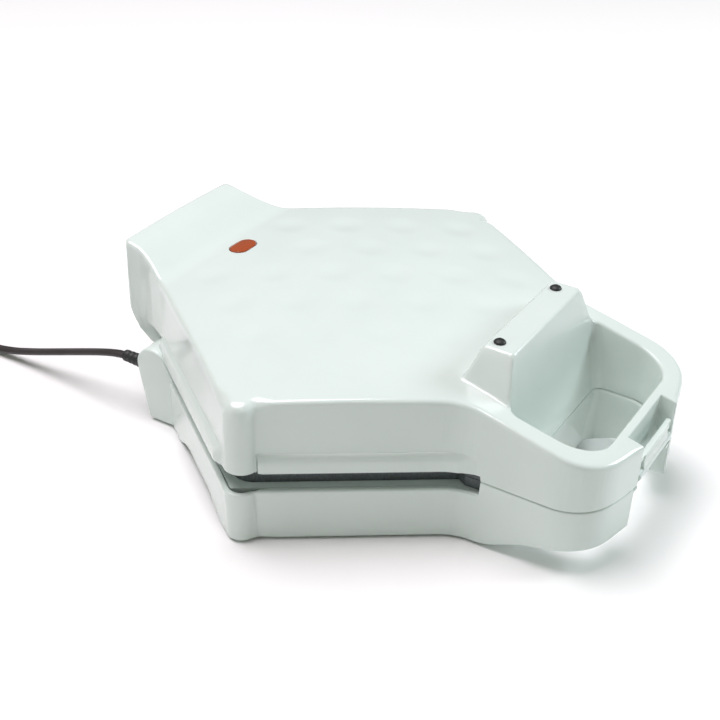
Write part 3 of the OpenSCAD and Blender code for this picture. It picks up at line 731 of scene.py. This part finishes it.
# %% Rows of the finger opening's wall
GRIP_EDGE, GRIP_FOOT = 2, 40.8
grip_border = grip_at(grip_top) - grip_away * GRIP_EDGE
border_z = lid_top(*grip_border.T)
grip_rows = []
for a in SOFT_EDGE:
    plan = grip_border + grip_away * GRIP_EDGE * math.sin(a)
    drop = (border_z - grip_top) * (1 - math.sin(a))
    grip_rows.append(lifted(plan, grip_top + drop - GRIP_EDGE * (1 - math.cos(a))))
for share in (0.12, 0.35, 0.6, 0.85, 1):
    z = grip_top - GRIP_EDGE + (GRIP_FOOT - grip_top + GRIP_EDGE) * share
    grip_rows.append(lifted(grip_at(z), z))
for z, back in ((40.35, 0.15), (40.2, 0.5), (40.2, 2.4), (40.6, 2.8), (45, 2.8)):
    grip_rows.append(lifted(grip_at(z) - grip_away * back, z))
print("the opening's wall has", len(grip_rows), "rows")


# %% [markdown]
# ## The lid's skin
# Now the sheet is filled and raised, and its three borders are drawn down. The third is the
# oval hole of the window, whose edge is barely rounded. The cuts are closer together where the
# top bends quickly: at the block and at the ramp.

# %% Build the lid's skin
WINDOW_Y, WINDOW_HALF = 104.6, 3.5


def oval(radius, steps=20):
    """Closed anticlockwise stadium round the window's middle."""
    turns = [math.radians(a) for a in np.linspace(-90, 90, steps)]
    right = [(WINDOW_HALF + radius * math.cos(a), WINDOW_Y + radius * math.sin(a)) for a in turns]
    return np.array(right + [(-x, 2 * WINDOW_Y - y) for x, y in right])


window_hole = oval(6.4)
right_cuts = spaced(0, 28, 2.4) + spaced(28, 38, 0.9) + spaced(38, 58, 1.1) + spaced(58, 131, 2.6)
x_cuts = sorted({round(s * c, 4) for s in (-1, 1) for c in right_cuts})
y_cuts = spaced(-151, -97, 2.6) + spaced(-97, -58, 1.0)
y_cuts += spaced(-58, 110, 2.4) + spaced(110, 152, 1.3)
bm = bmesh.new()
sheet_between(bm, [top_border, grip_border, window_hole], x_cuts, y_cuts)
outer, inner, window = border(bm, top_border), border(bm, grip_border), border(bm, window_hole)
raise_sheet(bm, lid_top)
draw_rows(bm, outer, lid_rows)
draw_rows(bm, inner, grip_rows)
hole_rows = []
for radius, drop in ((6.05, 0.1), (5.88, 0.4), (5.85, 3)):
    hole_rows.append(lifted(oval(radius), lid_top(*oval(radius).T) - drop))
draw_rows(bm, window, hole_rows)
print("lid skin", len(bm.faces), "faces")

# %% [markdown]
# The skin is open underneath, so Blender can't always tell its outside: if the top looks down,
# all faces are turned round. Two hinge knuckles then hang from the cover, each a turned barrel
# round the hinge pin and a bevelled neck.

# %% The lid's knuckles
bmesh.ops.recalc_face_normals(bm, faces=bm.faces)
if sum(f.normal.z for f in bm.faces if f.calc_center_median().z > 80) < 0:
    bmesh.ops.reverse_faces(bm, faces=bm.faces)

KNUCKLE_X, KNUCKLE_WIDE = 43, 10
knuckle_profile = [(2.6, 0), (8.4, 0), (9, 0.6), (9, 9.4), (8.4, 10), (2.6, 10)]
for s in (-1, 1):
    knuckle_at = Matrix.Translation((s * KNUCKLE_X - KNUCKLE_WIDE / 2, HINGE_Y, HINGE_Z))
    turned(bm, knuckle_profile, 48, knuckle_at @ Matrix.Rotation(math.pi / 2, 4, "Y"))
    neck_at = Matrix.Translation((s * KNUCKLE_X, 120, 43)) @ Matrix.Diagonal((9.6, 16, 14, 1))
    neck = bmesh.ops.create_cube(bm, size=1, matrix=neck_at)["verts"]
    bmesh.ops.bevel(bm, geom=list({e for v in neck for e in v.link_edges}), offset=0.6, segments=2,
                    affect="EDGES", profile=0.5, material=-1)
piece(bm, "lid_shell", "lid", ["lid_housing"], "white_plastic")

# %% [markdown]
# ## The base's plan
# The base follows the lid, but it runs straight to the two hinge ears, and the front of its
# handle is cut through for the clip, so that two horns are left. The finger opening is a bay
# of the same outline. It could be cut out with a boolean, but one closed line needs no cut.

# %% Outline of the base
REAR_REACH, SIDE_REACH, BASE_FRONT_REACH = 9.29, 9.2, 6.14
rear_wall = REAR_WALL @ COLUMN + REAR_REACH
column_wall = COLUMN_FRONT @ COLUMN + SIDE_REACH
front_wall = FRONT_WALL @ COLUMN + BASE_FRONT_REACH
base_column = crossing(REAR_WALL, rear_wall, COLUMN_FRONT, column_wall)
base_corner = crossing(COLUMN_FRONT, column_wall, FRONT_WALL, front_wall)
base_line = mirrored(rounded([
    (0, 108), (66.9, 108, 2), (*base_column, 9.2), (*base_corner, 2.2), (64, -73, 30), (64, -83.8, 0),
    (64, -84.2, 0), (64, -138.6, 26), (43, -146.1, 50), (25, -150, 1.2), (25, -134.6, 1.2),
    (48.4, -134.6, 17), (48.4, -97.5, 4), (0, -97.5)]))
base_away = away(base_line)
bx, by = np.abs(base_line[:, 0]), base_line[:, 1]
in_bay = (bx < 48.5) & (by > -135.2) & (by < -97)
beside_column = 1 - fade(np.hypot(bx - COLUMN[0], by - COLUMN[1]), 9.3, 8)
print("the base's outline has", len(base_line), "points,", int(in_bay.sum()), "of them in the bay")

# %% [markdown]
# The lower edge arches up in the rear walls and rises under the handle, so that a hand can get
# under it. Each is a short table of distances, to the front or along the rear wall, and heights.
# The mean of four slightly shifted readings rounds the kinks.

# %% Height of the base's lower edge
APEX, KINK = np.array((130.2, 21.8)), np.array((58.5, 118))
ALONG = (KINK - APEX) / np.linalg.norm(KINK - APEX)
HANDLE_RISE = ([84, 86, 92, 103, 113, 123, 135, 190], [1, 1.2, 2.8, 8, 12, 14.2, 15.4, 16.5])
REAR_ARCH = ([13, 22, 30, 70, 80, 88], [1, 5, 8.2, 8.2, 5.5, 1])


def underside(x, y):
    """Height of the base's lower edge over any place."""
    x, y = np.abs(np.asarray(x, float)), np.asarray(y, float)
    low = 0
    for shift in (-3, -1, 1, 3):
        rise = np.interp(-(y + shift), *HANDLE_RISE)
        along = (x - APEX[0]) * ALONG[0] + (y - APEX[1]) * ALONG[1] + shift
        arch = np.interp(along, *REAR_ARCH)
        low = low + np.maximum(rise, np.where(np.hypot(x - 20, y - 20) > 60, arch, 1)) / 4
    return low


low_edge = underside(bx, by)
print("the lower edge is", low_edge.min().round(1), "to", low_edge.max().round(1), "mm up")


# %% [markdown]
# ## The base's skin
# The wall goes from the lower edge up to the rim on which the frame and the plate lie. A mould
# needs draft, so the walls lean by a degree, the columns taper downwards and the bay narrows
# downwards. One function of height does it all, and the rows are its plans from low to high.

# %% Rows of the base's wall
RIM, GRIP_RIM = 31.0, 39.8
WALL, FOOT_EDGE, RIM_EDGE = 2.8, 1, 1.4


def base_plan_at(z, inward=0.0):
    """The outline at a height, drafted, and moved inwards."""
    out = beside_column * np.interp(z, [1, RIM], [-0.8, 0.3])
    bay_draft = 0.06 * np.abs(base_away[:, 0]) - 0.025 * np.abs(base_away[:, 1])
    out = out + np.where(in_bay, (GRIP_RIM - z) * bay_draft, 0)
    out = out - np.where(in_bay, 0, (RIM - np.minimum(z, RIM)) * 0.012)
    return base_line + base_away * (out - inward)[:, None]


rim = np.where(by < -84, GRIP_RIM, RIM)
base_rows = []
for a in (math.radians(turn) for turn in (30, 60, 90)):
    plan = base_plan_at(low_edge, FOOT_EDGE - FOOT_EDGE * math.sin(a))
    base_rows.append(lifted(plan, low_edge + FOOT_EDGE - FOOT_EDGE * math.cos(a)))
for share in (0.1, 0.3, 0.5, 0.7, 0.9, 1):
    z = low_edge + FOOT_EDGE + (rim - RIM_EDGE - low_edge - FOOT_EDGE) * share
    base_rows.append(lifted(base_plan_at(z), z))
for a in SOFT_EDGE:
    plan = base_plan_at(rim, RIM_EDGE * (1 - math.cos(a)))
    base_rows.append(lifted(plan, rim - RIM_EDGE * (1 - math.sin(a))))
for inward, drop in ((2.5, 0), (WALL, 0.3), (WALL, 3.5)):
    base_rows.append(lifted(base_plan_at(rim, inward), rim - drop))
print("the base's wall has", len(base_rows), "rows")

# %% [markdown]
# Underneath, a rim runs round a shallow recess, whose wall is drawn up with rows of its own.

# %% The underside and its recess
FLOOR_Z, FLOOR_INSET = 9, 1.5
recess_corner = crossing(REAR_WALL, rear_wall - WALL, FRONT_WALL, front_wall - WALL)
recess_half = [(0, 101), (68.6, 101, 3), (*recess_corner, 8), (58.4, -76, 3), (0, -76)]
recess_line = mirrored(rounded(recess_half))
recess_away = away(recess_line)
bottom_border = base_plan_at(low_edge, FOOT_EDGE)
bm = bmesh.new()
sheet_between(bm, [bottom_border, recess_line], spaced(-131, 131, 6), spaced(-151, 108, 3))
outer, inner = border(bm, bottom_border), border(bm, recess_line)
raise_sheet(bm, underside)
draw_rows(bm, outer, base_rows)

recess_low = underside(*recess_line.T)
recess_rows = []
for inset, z in ((0.3, recess_low + 0.1), (0.5, recess_low + 0.5), (0.6, 8.2), (0.9, 8.8),
                 (FLOOR_INSET, FLOOR_Z)):
    recess_rows.append(lifted(recess_line - recess_away * inset, z))
draw_rows(bm, inner, recess_rows)
print("walls and recess", len(bm.faces), "faces")


# %% [markdown]
# The floor closes the recess, and its seven vent slots let the heat out. It is a flat sheet of
# its own, with a wall drawn up from each slot, and is welded to the recess at the end.

# %% The floor and its vents
VENT_R, VENT_HALF, VENT_GAP, VENT_Y = 2, 21, 14, 9


def vent(x):
    """Closed stadium of one vent slot."""
    ends = [(1, turn) for turn in range(0, 181, 20)] + [(-1, turn) for turn in range(180, 361, 20)]
    return np.array([(x + VENT_R * math.cos(math.radians(turn)),
                      VENT_Y + s * VENT_HALF + VENT_R * math.sin(math.radians(turn)))
                     for s, turn in ends])


vents = [vent(VENT_GAP * i) for i in range(-3, 4)]
floor = bmesh.new()
sheet_between(floor, [recess_line - recess_away * FLOOR_INSET] + vents)
bmesh.ops.translate(floor, vec=(0, 0, FLOOR_Z), verts=floor.verts)
for slot in vents:
    draw_rows(floor, border(floor, slot), [lifted(slot, 9.4), lifted(slot, 11.5)])
floor_mesh = bpy.data.meshes.new("floor")
floor.to_mesh(floor_mesh)
floor.free()
bm.from_mesh(floor_mesh)
bpy.data.meshes.remove(floor_mesh)
bmesh.ops.remove_doubles(bm, verts=bm.verts, dist=0.002)
bmesh.ops.recalc_face_normals(bm, faces=bm.faces)
print("base skin", len(bm.faces), "faces, with", len(vents), "vents")


# %% [markdown]
# The hinge ears at the two rear corners hold the hinge pins, and the clip catches two small ribs
# inside the horns. All are blocks with a shaped side, so each is drawn from its side view and
# pushed out across its width, with its edges bevelled.

# %% Ears and catch ribs
def slab(bm, outline, x_low, x_high, bevel, segments=3):
    """Block with the given (y, z) outline, pushed from x_low to x_high, its rims bevelled."""
    verts = [bm.verts.new((x_low, y, z)) for y, z in outline]
    face = bm.faces.new(verts)
    new = bmesh.ops.extrude_face_region(bm, geom=[face], use_keep_orig=True)["geom"]
    moved = only_verts(new)
    bmesh.ops.translate(bm, vec=(x_high - x_low, 0, 0), verts=moved)
    caps = [face] + [f for f in new if isinstance(f, bmesh.types.BMFace)]
    rims = list({e for f in caps for e in f.edges})
    faces = list({f for v in verts + moved for f in v.link_faces})
    bmesh.ops.recalc_face_normals(bm, faces=faces)
    bmesh.ops.bevel(bm, geom=rims, offset=bevel, segments=segments, affect="EDGES", profile=0.5,
                    material=-1, clamp_overlap=True)


EAR_R = 11
ear_head = [(HINGE_Y + EAR_R * math.cos(a), HINGE_Z + EAR_R * math.sin(a))
            for a in map(math.radians, range(-12, 159, 10))]
ear_side = rounded([(96, 20, 0), (96, 1, 0), (122.6, 1, 2.5), (129.6, 32.5, 0)], 15, 30)
ear_outline = [tuple(p) for p in ear_side] + ear_head + [(104, 31), (96, 31)]
for low, high in ((48.7, 68), (-68, -48.7)):
    slab(bm, ear_outline, low, high, 1.3)
rib_outline = [(-149.5, 37.2), (-144, 37.2), (-144, 34.4), (-148, 34.4), (-149.5, 35.6)]
for low, high in ((-26, -19.8), (19.8, 26)):
    slab(bm, rib_outline, low, high, 0.4, 2)
print("base with ears and ribs", len(bm.faces), "faces")

# %% [markdown]
# Six soft feet keep the hot maker off the table. Each sits in a round boss of the floor. Boss
# and foot are turned shapes, the one in plastic and the other in rubber.

# %% Foot bosses and feet
FEET = [(s * x, y) for s in (-1, 1) for x, y in ((90, 40), (50, 84), (50, -62))]
boss_profile = [(8.8, 9.2), (8.4, 8.6), (8.4, 1.5), (7.9, 1), (6.5, 1), (6.2, 1.3), (6.2, 3), (0, 3)]
for x, y in FEET:
    turned(bm, boss_profile, 48, Matrix.Translation((x, y, 0)))
piece(bm, "base_shell", "base", ["base_housing"], "white_plastic")

foot_profile = [(0, 0), (4.6, 0), (5.2, 0.15), (5.45, 0.5), (5.9, 2.9), (0, 3)]
bm = bmesh.new()
for x, y in FEET:
    turned(bm, foot_profile, 48, Matrix.Translation((x, y, 0)))
piece(bm, "soft_feet", "base", ["rubber_feet"], "black_rubber")

# %% [markdown]
# ## The clip
# The clip holds the lid shut. It is a thin moulded plate on a barrel that turns on a pin. At
# rest it is folded up against the end of the notch, with its finger edge on top. The plate and
# the edge are pushed-out outlines, like the ears.

# %% The clip
CLIP_AT = Matrix.Translation((-22, -148, 43.4)) @ Matrix.Rotation(math.pi / 2, 4, "Y")
barrel_profile = [(1.6, 0), (2.5, 0), (2.9, 0.4), (2.9, 43.6), (2.5, 44), (1.6, 44)]
plate_outline = [(-145.6, 43), (-149.9, 43.2), (-150.5, 46), (-149.8, 50.4), (-150.5, 52.6),
                 (-149.8, 54.1), (-147.4, 54.1), (-146.4, 52.6), (-145.8, 48)]
finger_edge = [(-149.4, 52), (-147, 52), (-147, 53.9), (-149.4, 53.9)]
bm = bmesh.new()
turned(bm, barrel_profile, 48, CLIP_AT)
slab(bm, plate_outline, -16.5, 16.5, 0.5)
slab(bm, finger_edge, -21.3, 21.3, 0.5)
piece(bm, "flip_clip", "latch", ["latch_clip"], "white_plastic")

# %% [markdown]
# ## The rubber plugs
# Two rubber plugs hide the screws of the block. Each is a domed button on a stem that goes into
# the hole, so it is turned.

# %% Rubber plugs
PLUG_Z = 101.45
button_profile = [(0, 1.6), (1.1, 1.5), (2, 1.2), (2.7, 0.7), (3.05, 0.25), (3.15, 0), (2, -0.1),
                  (2, -3.4), (0, -3.4)]
bm = bmesh.new()
for x, y in PLUG_SPOTS:
    turned(bm, [(r, h + PLUG_Z) for r, h in button_profile], 48, Matrix.Translation((x, y, 0)))
piece(bm, "rubber_plugs", "lid", ["bridge_plugs"], "black_rubber")


# %% [markdown]
# ## The window
# A neon lamp under an amber lens shows that the maker is heating. The lens has a low dome, a
# wall that drops into the hole, and a flange that holds it from inside. It is a small sheet with
# rows, as the lid is, so its face follows the crown, and a fill closes its back.

# %% The window
def lens_face(x, y):
    """Height of the lens over any place: a low dome on the lid's top."""
    return lid_top(x, y) + 0.75 - 0.012 * (x * 0.55) ** 2 - 0.015 * (y - WINDOW_Y) ** 2


lens_edge = oval(4.9)
flush = float(lid_top(0, WINDOW_Y))
bm = bmesh.new()
sheet_between(bm, [lens_edge], spaced(-11, 11, 0.8), spaced(97, 112, 0.8))
dome = border(bm, lens_edge)
raise_sheet(bm, lens_face)
lens_rows = [lifted(oval(r), lens_face(*oval(r).T) - drop) for r, drop in ((5.25, 0.12), (5.45, 0.5))]
for r, drop in ((5.45, 4.3), (7.2, 4.5), (7.2, 6), (4.1, 6), (4.1, 2.6)):
    lens_rows.append(lifted(oval(r), flush - drop))
draw_rows(bm, dome, lens_rows)
bmesh.ops.triangle_fill(bm, edges=[e for e in bm.edges if e.is_boundary], use_beauty=True)
bmesh.ops.recalc_face_normals(bm, faces=bm.faces)
piece(bm, "amber_window", "lid", ["indicator_lens"], "amber_lens")

# %% [markdown]
# ## Finishes
# Every finish is worked out from the piece's own coordinates, so that it needs no picture. A
# helper builds the shader: a base colour that drifts a little between two tones, a roughness
# that varies, and a fine relief. Scales count details to the metre: 500 means about two
# millimetres.

# %% Shader helper
FINISHES = {}
RELIEF_DEPTH = 0.0001


def finish(name, tones, rough, grain, relief, stretch=(1, 1, 1), drift=30, **more):
    """Principled finish between two tones, with fine grain on its roughness and surface."""
    mat = bpy.data.materials.new(name)
    mat.use_nodes = True
    nodes, link = mat.node_tree.nodes, mat.node_tree.links.new
    shader = nodes["Principled BSDF"]
    fitted = nodes.new("ShaderNodeMapping")
    fitted.inputs["Scale"].default_value = stretch
    link(nodes.new("ShaderNodeTexCoord").outputs["Object"], fitted.inputs["Vector"])

    def noise(scale, detail):
        node = nodes.new("ShaderNodeTexNoise")
        node.inputs["Scale"].default_value = scale
        node.inputs["Detail"].default_value = detail
        link(fitted.outputs["Vector"], node.inputs["Vector"])
        return node.outputs["Fac"]

    slow, fine = noise(drift, 3), noise(grain, 2)
    ramp = nodes.new("ShaderNodeValToRGB")
    for element, place, tone in zip(ramp.color_ramp.elements, (0.3, 0.7), tones):
        element.position = place
        element.color = (*tone, 1)
    link(slow, ramp.inputs["Fac"])
    link(ramp.outputs["Color"], shader.inputs["Base Color"])
    spread = nodes.new("ShaderNodeMapRange")
    spread.inputs["To Min"].default_value, spread.inputs["To Max"].default_value = rough
    link(fine, spread.inputs["Value"])
    link(spread.outputs["Result"], shader.inputs["Roughness"])
    bump = nodes.new("ShaderNodeBump")
    bump.inputs["Strength"].default_value = relief
    bump.inputs["Distance"].default_value = RELIEF_DEPTH
    link(fine, bump.inputs["Height"])
    link(bump.outputs["Normal"], shader.inputs["Normal"])
    for socket, value in more.items():
        shader.inputs[socket.replace("_", " ")].default_value = value
    FINISHES[name] = mat
    return mat


# %% [markdown]
# The housings are a glossy plastic with a faint mint cast, so they get a thin clear coat over a
# smooth base. The plates have a dark, satin non-stick coat, which is rougher and grainier.

# %% Housings and plates
finish("white_plastic", ((0.68, 0.765, 0.725), (0.7, 0.785, 0.745)), (0.17, 0.27), 700, 0.025,
       Coat_Weight=0.4, Coat_Roughness=0.06, IOR=1.5)
finish("nonstick_aluminium", ((0.055, 0.07, 0.073), (0.1, 0.12, 0.125)), (0.35, 0.6), 1800, 0.15,
       drift=900, Coat_Weight=0.15, Coat_Roughness=0.3)
print(len(FINISHES), "finishes so far")

# %% [markdown]
# The heaters are dulled by heat, the pressed trays are brushed along one direction, so their
# grain is stretched, and the screws and the plug's pins are bright.

# %% Metals
finish("heater_steel", ((0.16, 0.13, 0.11), (0.33, 0.31, 0.29)), (0.4, 0.65), 900, 0.1, Metallic=0.9)
finish("reflector_steel", ((0.5, 0.5, 0.48), (0.6, 0.6, 0.58)), (0.2, 0.4), 500, 0.05,
       stretch=(1, 12, 12), Metallic=1.0)
finish("zinc_steel", ((0.5, 0.51, 0.53), (0.62, 0.63, 0.63)), (0.25, 0.42), 1500, 0.05, Metallic=1.0)
finish("plug_brass", ((0.62, 0.6, 0.55), (0.72, 0.7, 0.64)), (0.12, 0.28), 1300, 0.03, Metallic=1.0)
print(len(FINISHES), "finishes so far")

# %% [markdown]
# The lens and the neon lamp let light through. The rest are plain plastics and rubbers, almost
# black except for the cream terminal block and the woven sleeves of the wires.

# %% Lens, lamp, rubbers and plastics
finish("amber_lens", ((0.46, 0.075, 0.018), (0.55, 0.11, 0.03)), (0.08, 0.14), 900, 0.01,
       Coat_Weight=0.8, Coat_Roughness=0.03, Transmission_Weight=0.25, IOR=1.49)
finish("lamp_glass", ((0.9, 0.55, 0.3), (0.95, 0.65, 0.4)), (0.02, 0.06), 300, 0.005,
       Transmission_Weight=0.9, IOR=1.5)
finish("wire_sleeve", ((0.6, 0.55, 0.42), (0.75, 0.7, 0.56)), (0.6, 0.85), 2500, 0.4,
       stretch=(1, 0.25, 1))
finish("black_rubber", ((0.012, 0.014, 0.014), (0.022, 0.024, 0.024)), (0.42, 0.6), 1600, 0.12)
finish("black_plastic", ((0.018, 0.018, 0.019), (0.028, 0.028, 0.03)), (0.3, 0.45), 1400, 0.08)
finish("terminal_plastic", ((0.66, 0.6, 0.46), (0.74, 0.68, 0.54)), (0.35, 0.5), 900, 0.05)
finish("cord_vinyl", ((0.03, 0.026, 0.027), (0.045, 0.038, 0.039)), (0.32, 0.48), 1500, 0.08)
print(len(FINISHES), "finishes in all")

# %% [markdown]
# Each frame piece takes the finish that its record names, and each redrawn piece that of its
# slot.

# %% Apply the finishes
for part in frame["record"]["subparts"]:
    mesh = frame["nodes"][part["node"]].data
    mesh.materials.clear()
    mesh.materials.append(FINISHES[part["material_slot"]])
for made, slot in REDRAWN:
    made.data.materials.append(FINISHES[slot])
print("finishes on", len(frame["nodes"]), "frame pieces and", len(REDRAWN), "redrawn ones")

# %% [markdown]
# ## The floor
# The maker stands on a plain white disc, wide enough for any view. It lies a little below the
# feet, so that no two faces share a plane, and it rides on no body, so it isn't part of the product.

# %% Floor
FLOOR_R, FLOOR_GAP = 7, 0.0004
bm = bmesh.new()
bmesh.ops.create_circle(bm, cap_ends=True, segments=96, radius=FLOOR_R)
floor_mesh = bpy.data.meshes.new("studio_floor")
bm.to_mesh(floor_mesh)
bm.free()
studio_floor = bpy.data.objects.new("studio_floor", floor_mesh)
studio_floor.location = (0, 0, -FLOOR_GAP)
bpy.context.scene.collection.objects.link(studio_floor)
paper = finish("floor_paper", ((0.93, 0.935, 0.93), (0.95, 0.95, 0.945)), (0.8, 0.95), 60, 0.01, drift=2)
studio_floor.data.materials.append(paper)
print("floor is", 2 * FLOOR_R, "m across")


# %% [markdown]
# ## The light
# A large soft lamp hangs above and behind the maker, so that its top is bright and the walls
# towards the camera are a step darker. A lamp from the right lights the walls of the finger
# opening, a weak one from the left grazes the rear walls, and a small one brightens the rounded
# edges. A dim, greenish sky fills the shadows. It could light everything alone, but single lamps
# can be set one by one.

# %% Lamps and sky
def soft_lamp(name, place, aim, size, watts, tint):
    """Round lamp of the given size in metres, turned to its aim."""
    lamp = bpy.data.objects.new(name, bpy.data.lights.new(name, "AREA"))
    lamp.data.shape = "DISK"
    lamp.data.size = size
    lamp.data.energy = watts
    lamp.data.color = tint
    lamp.location = place
    lamp.rotation_mode = "QUATERNION"
    lamp.rotation_quaternion = (Vector(aim) - Vector(place)).to_track_quat("-Z", "Y")
    bpy.context.scene.collection.objects.link(lamp)
    print(name, "gives", watts, "W over", size, "m")


soft_lamp("top_lamp", (-0.18, 0.52, 1.9), (0, 0, 0), 1.5, 40, (1, 0.94, 0.985))
soft_lamp("side_lamp", (-1.5, 0.8, 0.6), (0, 0, 0.05), 0.9, 1.5, (1, 0.96, 0.96))
soft_lamp("front_lamp", (1.3, -1.3, 1.0), (0, -0.1, 0.05), 0.8, 20, (0.88, 0.96, 1))
soft_lamp("edge_lamp", (-0.82, -0.68, 1.31), (0, 0, 0.05), 0.3, 0.8, (1, 0.98, 0.96))

SKY_TINT, SKY_STRENGTH = (0.95, 1.0, 0.86, 1), 0.16
sky = bpy.data.worlds.new("studio_sky")
sky.use_nodes = True
sky.node_tree.nodes["Background"].inputs["Color"].default_value = SKY_TINT
sky.node_tree.nodes["Background"].inputs["Strength"].default_value = SKY_STRENGTH
bpy.context.scene.world = sky
bpy.context.scene.view_settings.view_transform = "Standard"
